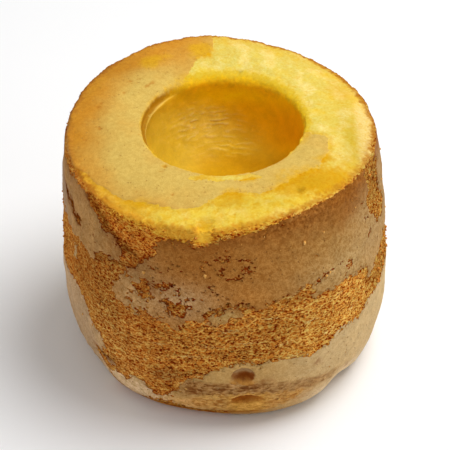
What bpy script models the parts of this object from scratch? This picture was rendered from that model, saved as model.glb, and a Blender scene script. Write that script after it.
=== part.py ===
"""A small round chiffon cake with a blind, bowl-shaped well in its top.

One piece, baked in one mould, so it is one solid. It stands on its flat base.
Lengths below are in millimetres and bearings in degrees, anticlockwise seen
from above, with 0 along +X and the cake's front at -90. The mesh is built in
metres, +Z up, with the origin at the middle of the underside.
"""

import math

import bmesh
import bpy
import numpy as np

# ---------------------------------------------------------------- dimensions
RIM_HEIGHT = 83.5          # mean height of the outer rim above the base
RIM_ROUND = 2.2            # radius of the browned outer edge of the top
SIDE_BULGE = 0.8           # how far the side swells at half height
SIDE_EASE = 1.3            # above 1, the side leaves the foot upright and leans in later
FOOT_INSET = 9.0           # the side draws in this much towards the base ...
FOOT_HEIGHT = 26.0         # ... over this height
DOME = 0.9                 # crown of the top between the outer rim and the well

# The rim isn't level: waves round the turn, as (waves, cosine part, sine part).
# The first is the tilt of the top, higher at the back.
RIM_WAVES = ((1, 0.5, 1.5), (2, -0.4, -1.7), (3, -0.2, -0.3))
LIP_SHARE = 0.45           # share of the tilt that is left at the lip of the well

# Distance of the rim and of the widest part of the foot from the middle, one
# value every 30 degrees of bearing. The front right of the rim is flattened.
RIM_OUTLINE = (50.0, 52.5, 52.5, 54.0, 54.0, 53.5, 53.0, 53.0, 53.5, 52.5, 50.5, 51.0)
FOOT_OUTLINE = (55.5, 55.5, 55.5, 55.0, 55.0, 55.0, 55.0, 55.0, 56.0, 56.0, 58.5, 56.0)

WELL_CENTRE = (-0.4, 1.4)  # the well's axis, beside the middle of the cake
WELL_RADIUS = 26.5         # at the lip
WELL_DEPTH = 27.0          # below the lip
LIP_ROUND = 1.6            # rounding of the lip
LEDGE_DEPTH = 3.2          # small moulded step below the lip ...
LEDGE_INSET = 1.2          # ... and how far it comes in
BOWL_FULLNESS = 2.6        # 2 is a round bowl; more is flatter with steeper walls

# Dents in the front of the foot: bearing, height, half width, half height, depth
DENTS = (
    (-83.3, 24.7, 4.2, 3.4, 2.4),
    (-82.0, 12.3, 5.2, 2.3, 1.8),
)

BEARING_STEP = 4.4         # spacing of the mesh round the cake
FINE_STEP = 1.7            # and where the dents are
FINE_REACH = 9.0

CAKE_COLOUR = (0.50, 0.27, 0.085, 1.0)
CAKE_ROUGHNESS = 0.85

MM = 0.001


# ---------------------------------------------------------------- shape rules
def closed_spline(values, bearing):
    """Smooth closed outline through evenly spaced control values."""
    n = len(values)
    t = (bearing % 360.0) / 360.0 * n
    i = int(math.floor(t))
    f = t - i
    a, b, c, d = (values[(i + k) % n] for k in (-1, 0, 1, 2))
    return (
        a * (1 - f) ** 3
        + b * (3 * f**3 - 6 * f**2 + 4)
        + c * (-3 * f**3 + 3 * f**2 + 3 * f + 1)
        + d * f**3
    ) / 6.0


def rim_height(bearing):
    a = math.radians(bearing)
    waves = sum(c * math.cos(k * a) + s * math.sin(k * a) for k, c, s in RIM_WAVES)
    return RIM_HEIGHT + waves


def lip_height(bearing):
    """The lip of the well keeps only a share of the tilt."""
    a = math.radians(bearing)
    _, c, s = RIM_WAVES[0]
    return RIM_HEIGHT + 0.8 * DOME + LIP_SHARE * (c * math.cos(a) + s * math.sin(a))


def quarter(u):
    """How far a quarter ellipse has drawn in at the share u of its height."""
    return 1.0 - math.sqrt(max(0.0, 1.0 - min(max(u, 0.0), 1.0) ** 2))


def dent(bearing, height, radius):
    """Inward push of the dents at this place on the side."""
    push = 0.0
    for at, level, half_wide, half_tall, depth in DENTS:
        turn = (bearing - at + 180.0) % 360.0 - 180.0
        across = math.radians(turn) * radius / half_wide
        up = (height - level) / half_tall
        reach = across * across + up * up
        if reach < 1.0:
            push += depth * (1.0 - reach) ** 1.5
    return push


def side_radius(bearing, height):
    top = rim_height(bearing) - RIM_ROUND
    t = min(max((height - FOOT_HEIGHT) / (top - FOOT_HEIGHT), 0.0), 1.0)
    lean = t**SIDE_EASE
    radius = (
        closed_spline(FOOT_OUTLINE, bearing) * (1 - lean)
        + closed_spline(RIM_OUTLINE, bearing) * lean
        + 4 * SIDE_BULGE * t * (1 - t)
    )
    radius -= FOOT_INSET * quarter((FOOT_HEIGHT - height) / FOOT_HEIGHT)
    return radius - dent(bearing, height, radius)


def bearings():
    """Bearings of the mesh, closer together where the dents are."""
    middle = sum(d[0] for d in DENTS) / len(DENTS)
    fine = 2 * int(round(FINE_REACH / FINE_STEP))
    coarse = int(round((360.0 - 2 * FINE_REACH) / BEARING_STEP))
    out = [middle - FINE_REACH + 2 * FINE_REACH * k / fine for k in range(fine)]
    rest = 360.0 - 2 * FINE_REACH
    out += [middle + FINE_REACH + rest * k / coarse for k in range(coarse)]
    return out


def side_levels():
    """Heights of the rings on the side, closer together where the dents are."""
    levels = [0.8, 3.0, 6.0, 9.0]
    levels += [10.6, 12.3, 14.0, 16.0, 18.5]
    levels += [21.0, 22.8, 24.7, 26.6, 28.6]
    return levels


def ring_at(points, rings, mesh):
    rings.append([mesh.verts.new((x * MM, y * MM, z * MM)) for x, y, z in points])


def polar(bearing, radius, height, centre=(0.0, 0.0)):
    a = math.radians(bearing)
    return (centre[0] + radius * math.cos(a), centre[1] + radius * math.sin(a), height)


# ---------------------------------------------------------------- the mesh
def build_cake():
    mesh = bmesh.new()
    rings = []
    turn = bearings()

    # flat base, then the side with its drawn-in foot and its dents
    ring_at([polar(b, side_radius(b, 0.0), 0.0) for b in turn], rings, mesh)
    low = side_levels()
    for level in low:
        ring_at([polar(b, side_radius(b, level), level) for b in turn], rings, mesh)
    upper = 9
    for k in range(1, upper + 1):
        share = k / upper
        points = []
        for b in turn:
            top = rim_height(b) - RIM_ROUND
            level = low[-1] + (top - low[-1]) * share
            points.append(polar(b, side_radius(b, level), level))
        ring_at(points, rings, mesh)

    # rounded outer edge of the top
    for angle in (30.0, 60.0, 90.0):
        a = math.radians(angle)
        points = []
        for b in turn:
            edge = side_radius(b, rim_height(b) - RIM_ROUND)
            radius = edge - RIM_ROUND * (1 - math.cos(a))
            points.append(polar(b, radius, rim_height(b) - RIM_ROUND * (1 - math.sin(a))))
        ring_at(points, rings, mesh)

    # slightly crowned top, running in to the lip of the well
    across = 5
    for k in range(1, across + 1):
        share = k / across
        points = []
        for b in turn:
            edge = side_radius(b, rim_height(b) - RIM_ROUND) - RIM_ROUND
            ox, oy, _ = polar(b, edge, 0.0)
            ix, iy, _ = polar(b, WELL_RADIUS + LIP_ROUND, 0.0, WELL_CENTRE)
            x, y = ox + (ix - ox) * share, oy + (iy - oy) * share
            level = rim_height(b) * (1 - share) + lip_height(b) * share
            points.append((x, y, level + 4 * DOME * share * (1 - share)))
        ring_at(points, rings, mesh)

    # lip, the small step below it, and the bowl
    for angle in (45.0, 90.0):
        a = math.radians(angle)
        radius = WELL_RADIUS + LIP_ROUND * (1 - math.sin(a))
        drop = LIP_ROUND * (1 - math.cos(a))
        ring_at(
            [polar(b, radius, lip_height(b) - drop, WELL_CENTRE) for b in turn], rings, mesh
        )
    start = WELL_RADIUS - LEDGE_INSET
    ring_at(
        [polar(b, start + 0.35, lip_height(b) - LEDGE_DEPTH, WELL_CENTRE) for b in turn],
        rings,
        mesh,
    )

    floor = RIM_HEIGHT + 0.8 * DOME - WELL_DEPTH
    down = 9
    for k in range(1, down):
        a = math.pi / 2 * (k / down) ** 0.85
        radius = start * max(math.cos(a), 0.0) ** (2.0 / BOWL_FULLNESS)
        share = math.sin(a) ** (2.0 / BOWL_FULLNESS)
        points = []
        for b in turn:
            brim = lip_height(b) - LEDGE_DEPTH
            points.append(polar(b, radius, brim + (floor - brim) * share, WELL_CENTRE))
        ring_at(points, rings, mesh)

    count = len(turn)
    for lower, higher in zip(rings, rings[1:]):
        for k in range(count):
            j = (k + 1) % count
            mesh.faces.new((lower[k], lower[j], higher[j], higher[k]))
    mesh.faces.new(list(reversed(rings[0])))
    bottom = mesh.verts.new((WELL_CENTRE[0] * MM, WELL_CENTRE[1] * MM, floor * MM))
    last = rings[-1]
    for k in range(count):
        mesh.faces.new((last[k], last[(k + 1) % count], bottom))
    bmesh.ops.recalc_face_normals(mesh, faces=mesh.faces)

    data = bpy.data.meshes.new("cake")
    mesh.to_mesh(data)
    mesh.free()
    return data


def centre_on_base(data):
    """Moves the mesh so that the middle of its outline is over the origin."""
    points = np.empty(len(data.vertices) * 3, np.float32)
    data.vertices.foreach_get("co", points)
    points = points.reshape(-1, 3)
    middle = (points.min(axis=0) + points.max(axis=0)) / 2
    points[:, 0] -= middle[0]
    points[:, 1] -= middle[1]
    points[:, 2] -= points[:, 2].min()
    data.vertices.foreach_set("co", points.ravel())
    data.update()


def cake_material():
    material = bpy.data.materials.new("cake")
    material.use_nodes = True
    shader = material.node_tree.nodes["Principled BSDF"]
    shader.inputs["Base Color"].default_value = CAKE_COLOUR
    shader.inputs["Roughness"].default_value = CAKE_ROUGHNESS
    shader.inputs["Metallic"].default_value = 0.0
    material.diffuse_color = CAKE_COLOUR
    return material


def main():
    for old in list(bpy.data.objects):
        bpy.data.objects.remove(old, do_unlink=True)
    data = build_cake()
    centre_on_base(data)
    data.materials.append(cake_material())
    data.shade_smooth()
    data.set_sharp_from_angle(angle=math.radians(50))
    cake = bpy.data.objects.new("cake", data)
    bpy.context.scene.collection.objects.link(cake)


main()
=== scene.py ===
"""Looks of a small round chiffon cake with a bowl-shaped well in its top.

The cake is one closed body. Its side has kept part of the thin brown skin that
stuck to the mould; elsewhere the skin has torn away and shows golden crumb.
The top is tan skin on the left and front, and bare yellow crumb on the right.

Lengths are in millimetres and bearings in degrees, anticlockwise seen from
above, with 0 along +X and the front of the cake at -90, until the points are
written to the meshes in metres.
"""

import math

import bpy
import numpy as np
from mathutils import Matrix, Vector


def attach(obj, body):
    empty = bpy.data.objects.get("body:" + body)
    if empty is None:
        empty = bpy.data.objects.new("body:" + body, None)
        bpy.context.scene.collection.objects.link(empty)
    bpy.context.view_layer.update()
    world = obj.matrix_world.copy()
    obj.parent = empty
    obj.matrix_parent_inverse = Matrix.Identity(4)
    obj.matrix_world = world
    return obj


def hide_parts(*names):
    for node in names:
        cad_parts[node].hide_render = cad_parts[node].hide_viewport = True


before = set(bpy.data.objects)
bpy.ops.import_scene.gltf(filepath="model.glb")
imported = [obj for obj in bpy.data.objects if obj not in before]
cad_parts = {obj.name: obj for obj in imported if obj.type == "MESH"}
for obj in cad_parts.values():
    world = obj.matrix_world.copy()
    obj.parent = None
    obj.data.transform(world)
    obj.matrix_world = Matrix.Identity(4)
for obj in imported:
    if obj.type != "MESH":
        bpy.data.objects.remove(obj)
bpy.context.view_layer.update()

MM = 0.001

# ------------------------------------------------------------ shape of the cake
RIM_HEIGHT = 83.5
RIM_ROUND = 2.2
SIDE_BULGE = 0.8
SIDE_EASE = 1.3
FOOT_INSET = 9.0
FOOT_HEIGHT = 26.0
DOME = 0.9
RIM_WAVES = ((1, 0.5, 1.5), (2, -0.4, -1.7), (3, -0.2, -0.3))
LIP_SHARE = 0.45
RIM_OUTLINE = (50.0, 52.5, 52.5, 54.0, 54.0, 53.5, 53.0, 53.0, 53.5, 52.5, 50.5, 51.0)
FOOT_OUTLINE = (55.5, 55.5, 55.5, 55.0, 55.0, 55.0, 55.0, 55.0, 56.0, 56.0, 58.5, 56.0)
WELL_CENTRE = (-0.35, 1.8)
WELL_RADIUS = 26.9
WELL_DEPTH = 27.0
LIP_ROUND = 1.5
LEDGE_DEPTH = 3.2
LEDGE_INSET = 1.0
BOWL_FULLNESS = 2.6
DENTS = (
    (-83.5, 24.2, 4.0, 3.6, 1.6),
    (-82.0, 12.3, 5.2, 2.3, 1.2),
)
MIDDLE = (-0.1705, 0.5403)  # the middle of the outline is over the origin
GIRTH = 54.0                # radius used to unroll the side into millimetres

AROUND = 1020
STEP = 0.34
BODY_TRIANGLES = 196000


# ------------------------------------------------------------------ small tools
def linear(code):
    """sRGB hex code to linear colour."""
    out = []
    for k in (0, 2, 4):
        v = int(code[k : k + 2], 16) / 255.0
        out.append(v / 12.92 if v <= 0.04045 else ((v + 0.055) / 1.055) ** 2.4)
    return np.array(out)


def smooth(low, high, value):
    t = np.clip((value - low) / (high - low), 0.0, 1.0)
    return t * t * (3.0 - 2.0 * t)


def turn_from(bearing, at):
    return (bearing - at + 180.0) % 360.0 - 180.0


GRADIENTS = np.array(
    [(1, 1, 0), (-1, 1, 0), (1, -1, 0), (-1, -1, 0), (1, 0, 1), (-1, 0, 1), (1, 0, -1), (-1, 0, -1),
     (0, 1, 1), (0, -1, 1), (0, 1, -1), (0, -1, -1), (1, 1, 0), (-1, 1, 0), (0, -1, 1), (0, -1, -1)],
    np.float32,
)


def scramble(x, y, z, seed):
    """A repeatable 32-bit number for each cell of a lattice."""
    with np.errstate(over="ignore"):
        h = x.astype(np.uint32) * np.uint32(0x8DA6B343)
        h ^= y.astype(np.uint32) * np.uint32(0xD8163841)
        h ^= z.astype(np.uint32) * np.uint32(0xCB1AB31F)
        h ^= np.uint32((seed * 0x9E3779B1) & 0xFFFFFFFF)
        h ^= h >> np.uint32(15)
        h *= np.uint32(0x85EBCA6B)
        h ^= h >> np.uint32(13)
        h *= np.uint32(0xC2B2AE35)
        h ^= h >> np.uint32(16)
    return h


def noise(points, size, seed):
    """Gradient noise, about -1 to 1, with features of the given size in mm."""
    q = (points / np.asarray(size, np.float64)).astype(np.float64)
    cell = np.floor(q)
    f = (q - cell).astype(np.float32)
    cell = cell.astype(np.int64)
    u = f * f * f * (f * (f * 6.0 - 15.0) + 10.0)
    total = np.zeros(len(points), np.float32)
    for dx in (0, 1):
        wx = u[:, 0] if dx else 1.0 - u[:, 0]
        for dy in (0, 1):
            wy = u[:, 1] if dy else 1.0 - u[:, 1]
            for dz in (0, 1):
                wz = u[:, 2] if dz else 1.0 - u[:, 2]
                g = GRADIENTS[scramble(cell[:, 0] + dx, cell[:, 1] + dy, cell[:, 2] + dz, seed) & np.uint32(15)]
                dot = g[:, 0] * (f[:, 0] - dx) + g[:, 1] * (f[:, 1] - dy) + g[:, 2] * (f[:, 2] - dz)
                total += wx * wy * wz * dot
    return total * 1.25


def layered(points, size, seed, layers=3, gain=0.5):
    total, weight, norm = 0.0, 1.0, 0.0
    for k in range(layers):
        total = total + weight * noise(points, np.asarray(size, np.float64) / 2.0**k, seed + 17 * k)
        norm += weight
        weight *= gain
    return total / norm


def cells(points, size, seed):
    """Distances to the nearest two of a scatter of points, one to a cell, and the nearest one's own number 0 to 1."""
    q = points / np.asarray(size, np.float64)
    cell = np.floor(q).astype(np.int64)
    f = (q - cell).astype(np.float32)
    best = np.full(len(points), 9.0, np.float32)
    second = np.full(len(points), 9.0, np.float32)
    tag = np.zeros(len(points), np.float32)
    for dx in (-1, 0, 1):
        for dy in (-1, 0, 1):
            for dz in (-1, 0, 1):
                h = scramble(cell[:, 0] + dx, cell[:, 1] + dy, cell[:, 2] + dz, seed)
                px = (h & np.uint32(1023)).astype(np.float32) / 1023.0 + dx - f[:, 0]
                py = ((h >> np.uint32(10)) & np.uint32(1023)).astype(np.float32) / 1023.0 + dy - f[:, 1]
                pz = ((h >> np.uint32(20)) & np.uint32(1023)).astype(np.float32) / 1023.0 + dz - f[:, 2]
                d = px * px + py * py + pz * pz
                near = d < best
                second = np.where(near, best, np.minimum(second, d))
                best[near] = d[near]
                tag[near] = ((h[near] * np.uint32(2654435761)) >> np.uint32(8)).astype(np.float32) / 16777215.0
    return np.sqrt(best), np.sqrt(second), tag


def spline(values, angle):
    n = len(values)
    t = (angle % (2 * math.pi)) / (2 * math.pi) * n
    i = np.floor(t).astype(int)
    f = t - i
    v = np.asarray(values, float)
    return (
        v[(i - 1) % n] * (1 - f) ** 3
        + v[i % n] * (3 * f**3 - 6 * f**2 + 4)
        + v[(i + 1) % n] * (-3 * f**3 + 3 * f**2 + 3 * f + 1)
        + v[(i + 2) % n] * f**3
    ) / 6.0


# ------------------------------------------------------------------ shape rules
def rim_height(angle):
    return RIM_HEIGHT + sum(c * np.cos(k * angle) + s * np.sin(k * angle) for k, c, s in RIM_WAVES)


def lip_height(angle):
    _, c, s = RIM_WAVES[0]
    return RIM_HEIGHT + 0.8 * DOME + LIP_SHARE * (c * np.cos(angle) + s * np.sin(angle))


def side_radius(angle, height):
    top = rim_height(angle) - RIM_ROUND
    t = np.clip((height - FOOT_HEIGHT) / (top - FOOT_HEIGHT), 0.0, 1.0)
    lean = t**SIDE_EASE
    radius = spline(FOOT_OUTLINE, angle) * (1 - lean) + spline(RIM_OUTLINE, angle) * lean
    radius = radius + 4 * SIDE_BULGE * t * (1 - t)
    low = np.clip((FOOT_HEIGHT - height) / FOOT_HEIGHT, 0.0, 1.0)
    radius = radius - FOOT_INSET * (1.0 - np.sqrt(np.maximum(0.0, 1.0 - low**2)))
    for at, level, half_wide, half_tall, depth in DENTS:
        across = np.radians(turn_from(np.degrees(angle), at)) * radius / half_wide
        reach = across**2 + ((height - level) / half_tall) ** 2
        radius = radius - depth * np.clip(1.0 - reach, 0.0, 1.0) ** 1.5
    return radius


def lip_round(angle):
    """The lip of the well is soft at the back and crisp at the front right."""
    back = np.maximum(0.0, np.cos(angle - math.radians(82.0)))
    crisp = np.maximum(0.0, np.cos(angle + math.radians(45.0)))
    return LIP_ROUND + 1.9 * back - 0.7 * crisp


def ledge_depth(angle):
    """The step lies deeper at the back, where the lip is softest."""
    return LEDGE_DEPTH + 1.0 * np.maximum(0.0, np.cos(angle - math.radians(82.0)))


def ledge_share(angle):
    """The small moulded step below the lip shows only on the left."""
    return smooth(52.0, 22.0, np.abs(turn_from(np.degrees(angle), 170.0)))


BASE, SIDE, EDGE, TOP, LIP, LEDGE, BOWL = range(7)


def ring(part, share, angle):
    """Points of one ring of the undecorated cake, and the height or share that places it."""
    if part == BASE:
        r = side_radius(angle, np.zeros_like(angle)) * share
        return np.stack([r * np.cos(angle), r * np.sin(angle), np.zeros_like(angle)], -1)
    if part == SIDE:
        top = rim_height(angle) - RIM_ROUND
        z = np.where(share <= FOOT_HEIGHT, share, FOOT_HEIGHT + (share - FOOT_HEIGHT) * (top - FOOT_HEIGHT) / (RIM_HEIGHT - RIM_ROUND - FOOT_HEIGHT))
        r = side_radius(angle, z)
        return np.stack([r * np.cos(angle), r * np.sin(angle), z], -1)
    edge = side_radius(angle, rim_height(angle) - RIM_ROUND)
    if part == EDGE:
        r = edge - RIM_ROUND * (1 - math.cos(share))
        z = rim_height(angle) - RIM_ROUND * (1 - math.sin(share))
        return np.stack([r * np.cos(angle), r * np.sin(angle), z], -1)
    wx, wy = WELL_CENTRE
    if part == TOP:
        ox, oy = (edge - RIM_ROUND) * np.cos(angle), (edge - RIM_ROUND) * np.sin(angle)
        brim = WELL_RADIUS + lip_round(angle)
        ix, iy = wx + brim * np.cos(angle), wy + brim * np.sin(angle)
        z = rim_height(angle) * (1 - share) + lip_height(angle) * share + 4 * DOME * share * (1 - share)
        return np.stack([ox + (ix - ox) * share, oy + (iy - oy) * share, z], -1)
    rounding = lip_round(angle)
    inset = LEDGE_INSET * ledge_share(angle)
    if part == LIP:
        r = WELL_RADIUS + rounding * (1 - math.sin(share))
        z = lip_height(angle) - rounding * (1 - math.cos(share))
    elif part == LEDGE:
        lean = share * share * (3 - 2 * share)
        r = WELL_RADIUS - inset * lean
        z = lip_height(angle) - rounding - (ledge_depth(angle) - rounding) * share
    else:
        floor = RIM_HEIGHT + 0.8 * DOME - WELL_DEPTH
        brim = lip_height(angle) - ledge_depth(angle)
        r = (WELL_RADIUS - inset) * max(math.cos(share), 0.0) ** (2.0 / BOWL_FULLNESS)
        z = brim + (floor - brim) * math.sin(share) ** (2.0 / BOWL_FULLNESS)
    return np.stack([wx + r * np.cos(angle), wy + r * np.sin(angle), z + 0 * angle], -1)


def ring_plan():
    """The rings from the middle of the base, up the side, over the top and down the well, evenly spaced."""
    one = np.array([math.radians(-60.0)])
    plan = [(BASE, s) for s in (0.25, 0.5, 0.7, 0.85, 0.94)]

    def even(part, low, high, samples=600, step=STEP):
        t = np.linspace(low, high, samples)
        p = np.array([ring(part, v, one)[0] for v in t])
        length = np.concatenate([[0.0], np.cumsum(np.linalg.norm(np.diff(p, axis=0), axis=1))])
        n = max(2, int(round(length[-1] / step)))
        return [(part, float(v)) for v in np.interp(np.linspace(0, length[-1], n + 1), length, t)]

    plan += even(SIDE, 0.0, RIM_HEIGHT - RIM_ROUND)
    plan += even(EDGE, 0.0, math.pi / 2)[1:]
    plan += even(TOP, 0.0, 1.0)[1:]
    plan += [(LIP, float(a)) for a in np.linspace(0.0, math.pi / 2, 8)[1:]]
    coarse = [(LEDGE, float(s)) for s in np.linspace(0.0, 1.0, 6)[1:]]
    coarse += even(BOWL, 0.0, math.pi / 2 * 0.995, step=STEP * 1.1)[1:]
    return plan, coarse


# ------------------------------------------------------ skin and bare crumb, side
# Patches of skin left on the side, as bearing and height of their corners.
# Their edges are made ragged afterwards.
SKIN_SIDE = {
    "front band": (
        (-128.5, 56), (-131, 49), (-125, 44.5), (-123, 43), (-120.5, 47.5), (-116, 46.2), (-111, 44.5), (-106.5, 42.4), (-104.5, 45.2), (-99, 46.8),
        (-96.2, 48.2), (-97, 51), (-93.5, 52.9), (-86, 54.2), (-83, 54.8), (-82.5, 53.0), (-77, 52.0), (-72, 53.8), (-60, 57.5),
        (-59, 51), (-46, 51.3), (-36, 49.5), (-32, 49.5), (-30, 43), (-26, 45), (-21, 46.5), (-17, 50), (-8, 51), (-8, 56), (-14, 57), (-20, 58.5),
        (-24, 64), (-27.5, 69), (-25, 75), (-26, 80), (-22, 87), (-58, 87), (-63, 83.4), (-74, 81.6), (-82, 79.6), (-90, 77.8), (-93, 77.2), (-97, 75), (-105, 77.5), (-115, 74.5),
        (-118, 66.5), (-123.5, 61),
    ),
    "front scrap": ((-95, 46.4), (-94, 49.0), (-90.5, 51.6), (-85.0, 53.2), (-84.8, 50.6), (-86.8, 48.6), (-89.5, 47.4), (-93.5, 45.8)),
    "left wedge": (
        (-196, 77), (-165, 79), (-146, 79), (-143, 75), (-137, 71.5), (-128, 68.5), (-126, 66), (-131, 62),
        (-139, 61), (-141.5, 56), (-146, 58), (-155, 58), (-163, 57.5), (-170, 57), (-180, 60), (-196, 64),
    ),
    "left scrap": ((-155, 54.5), (-151.5, 54.5), (-150.5, 49.5), (-153.5, 49)),
    "lower left": (
        (-200, 38), (-168, 36), (-160, 38.5), (-152, 38), (-147, 33.5), (-144, 28), (-139, 26), (-136.5, 21), (-139, 17), (-145.5, 15.5),
        (-144.5, 12), (-139, 8), (-139, -3), (-200, -3),
    ),
    "foot scraps": (
        (-135, 4.5), (-136, 9), (-131, 11.5), (-128, 10.5), (-124, 14.5), (-119.5, 14.2), (-117.5, 10.5), (-113, 10),
        (-108, 12), (-100, 13), (-94, 10.5), (-94, 8), (-112, 7.3), (-121, 5), (-128, 3),
    ),
    "foot grey": ((-137, 17.5), (-133, 16), (-131.5, 13.5), (-134, 13)),
    "lower right": (
        (-103, 19.5), (-97.5, 23), (-92, 27), (-85, 29.7), (-80, 29.7), (-78, 28), (-75, 30), (-66, 28.5), (-56, 28),
        (-48, 32.5), (-40, 32.5), (-37, 31.3), (-30, 34.5), (-15, 35.5), (0, 37), (14, 33), (26, 36), (26, -3),
        (-86, -3), (-88, 5.4), (-106, 6), (-112, 9), (-108, 13.5), (-105, 16),
    ),
    "right upper": ((-13, 90), (-15, 83), (-11, 77), (-14, 70), (-9, 63), (-12, 57), (-9, 51), (2, 53), (12, 56), (22, 52), (36, 55), (50, 50), (50, 90)),
    "back band": (
        (48, 90), (48, 60), (58, 54), (66, 60), (78, 57), (88, 49), (97, 45), (104, 51), (116, 55), (127, 50),
        (139, 57), (150, 62), (162, 67), (178, 70), (178, 76), (160, 78), (150, 90),
    ),
    "back low": (
        (24, 38), (36, 41), (46, 38), (58, 43), (66, 36), (78, 30), (90, 32), (100, 26), (112, 29), (124, 36),
        (138, 40), (152, 37), (164, 41), (176, 37), (176, -3), (24, -3),
    ),
    "back scrap": ((70, 46), (80, 48), (84, 43), (76, 40), (69, 41)),
}
# Places where the skin has torn open: bearing, height, half width, half height, slope
TEARS = (
    (-116.3, 70.0, 1.7, 2.3, 0.5), (-108.5, 66.0, 0.8, 0.55, 0.3), (-114.5, 64.7, 0.8, 0.5, 0.0),
    (-94.5, 69.6, 1.3, 0.5, -0.3), (-92.0, 66.3, 1.4, 0.7, -0.3), (-91.0, 71.2, 0.8, 0.5, 0.2),
    (-89.0, 72.3, 0.5, 0.4, 0.0), (-86.0, 64.3, 2.6, 0.8, 0.1), (-81.5, 66.8, 2.2, 0.8, 0.35),
    (-83.0, 70.2, 2.4, 0.45, -0.2), (-94.2, 59.4, 1.3, 0.5, -0.4), (-111.5, 58.9, 3.6, 0.7, 0.15),
    (-106.2, 57.0, 0.9, 1.0, 0.4), (-118.5, 56.0, 2.6, 2.4, 0.3), (-122.0, 52.2, 1.3, 0.9, 0.4),
    (-117.0, 53.0, 2.2, 1.3, 0.0), (-107.4, 51.0, 4.3, 2.8, -0.25), (-102.6, 54.8, 2.5, 0.45, 0.8),
    (-102.0, 51.4, 1.0, 0.7, 0.0), (-125.0, 49.0, 0.6, 1.0, 0.0), (-54.5, 57.9, 3.6, 0.85, 0.25),
    (-45.0, 58.6, 0.5, 0.6, 0.0), (-42.3, 56.1, 2.1, 1.0, -0.25), (-27.5, 60.3, 1.7, 1.0, 0.3),
    (-30.0, 73.4, 0.9, 0.6, -0.4), (-28.5, 66.0, 0.8, 0.6, 0.0), (-20.0, 61.0, 1.4, 1.0, 0.4),
    (-161.0, 69.2, 7.0, 1.3, -0.35), (-153.0, 66.0, 3.2, 1.0, -0.1), (-143.0, 65.0, 0.7, 0.4, 0.0),
    (8.0, 71.0, 2.6, 1.4, 0.5), (20.0, 64.0, 1.6, 1.0, -0.3), (33.0, 76.0, 4.5, 1.6, 0.2),
    (41.0, 21.0, 3.4, 1.5, 0.3), (12.0, 18.0, 1.6, 1.0, 0.0), (70.0, 70.0, 3.4, 2.6, 0.4),
    (86.0, 78.0, 5.0, 2.0, -0.1), (95.0, 62.0, 2.2, 1.2, 0.4), (112.0, 72.0, 1.8, 2.4, 0.0),
    (128.0, 66.0, 4.4, 1.4, 0.3), (137.0, 24.0, 4.6, 2.0, -0.3), (160.0, 22.0, 2.2, 1.6, 0.0),
    (104.0, 14.0, 3.2, 1.4, 0.2), (66.0, 14.0, 1.8, 1.2, 0.0), (149.0, 72.0, 1.4, 1.1, 0.0),
)
# Brown smudges, some of them painted shadow in the crumb under the lower edge of the front skin: bearing, height, half
# width, half height, slope, strength
SMUDGES_AND_SHADOWS = (
    (-145.0, 78.5, 4.0, 1.6, -0.5, 0.9), (-140.5, 76.0, 4.2, 1.5, -0.6, 1.0), (-136.0, 73.5, 4.2, 1.8, -0.6, 1.0),
    (-130.5, 70.8, 4.6, 1.6, -0.5, 0.9), (-125.0, 68.0, 4.0, 1.8, -0.4, 0.9), (-122.0, 63.5, 1.6, 2.6, 0.4, 0.55),
    (-164.0, 69.6, 5.5, 1.9, -0.3, 1.0), (-158.0, 68.4, 4.5, 1.6, -0.4, 1.0), (-153.5, 66.2, 3.2, 1.4, -0.2, 1.0),
    (-138.8, 15.6, 4.6, 1.7, 0.0, 1.0), (-134.5, 16.8, 1.6, 1.0, 0.0, 0.8), (-116.0, 56.0, 3.6, 2.4, 0.3, 0.5),
    (-107.5, 51.0, 3.2, 1.8, -0.2, 0.6), (-110.0, 15.2, 3.0, 1.2, 0.0, 0.30), (-118.0, 12.0, 1.0, 0.9, 0.0, 0.9),
    (-77.5, 20.6, 2.4, 0.7, 0.5, 0.8), (-75.0, 21.6, 1.4, 0.5, 0.3, 0.7), (-57.7, 23.5, 1.1, 0.7, 0.0, 0.7),
    (-55.5, 22.4, 0.6, 0.6, 0.0, 0.6), (-18.0, 75.0, 4.0, 6.0, 0.0, 0.5), (-40.0, 10.0, 1.0, 1.0, 0.3, 0.8),
    (-130.0, 60.8, 8.0, 1.2, 0.15, 0.55), (-139.0, 58.5, 2.6, 1.6, 0.0, 0.5), (-112.5, 22.0, 4.4, 2.6, -0.2, 0.26),
    (-104.0, 23.0, 4.0, 2.0, 0.4, 0.35), (-119.0, 31.0, 10.0, 3.0, 0.1, 0.22), (-108.0, 38.0, 9.0, 3.0, -0.2, 0.22),
    (-88.0, 33.0, 10.0, 3.0, 0.1, 0.22), (-82.0, 52.4, 6.0, 1.2, 0.05, 0.25), (-92.8, 51.6, 4.0, 1.2, 0.35, 0.55), (-66.0, 53.5, 3.6, 2.0, 0.0, 0.5),
    (-100.0, 3.6, 22.0, 1.6, 0.0, 0.65), (-122.0, 2.8, 10.0, 1.6, 0.0, 0.5), (-101.0, 15.0, 2.6, 1.0, 0.3, 0.45),
    (70.0, 55.0, 7.0, 2.0, 0.2, 0.6), (130.0, 48.0, 9.0, 2.2, -0.2, 0.7), (100.0, 40.0, 6.0, 2.0, 0.1, 0.5),
    (150.0, 66.0, 7.0, 1.6, 0.2, 0.8), (33.0, 48.0, 7.0, 1.6, -0.1, 0.5), (8.0, 46.0, 6.0, 1.5, 0.0, 0.4),
)
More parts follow.
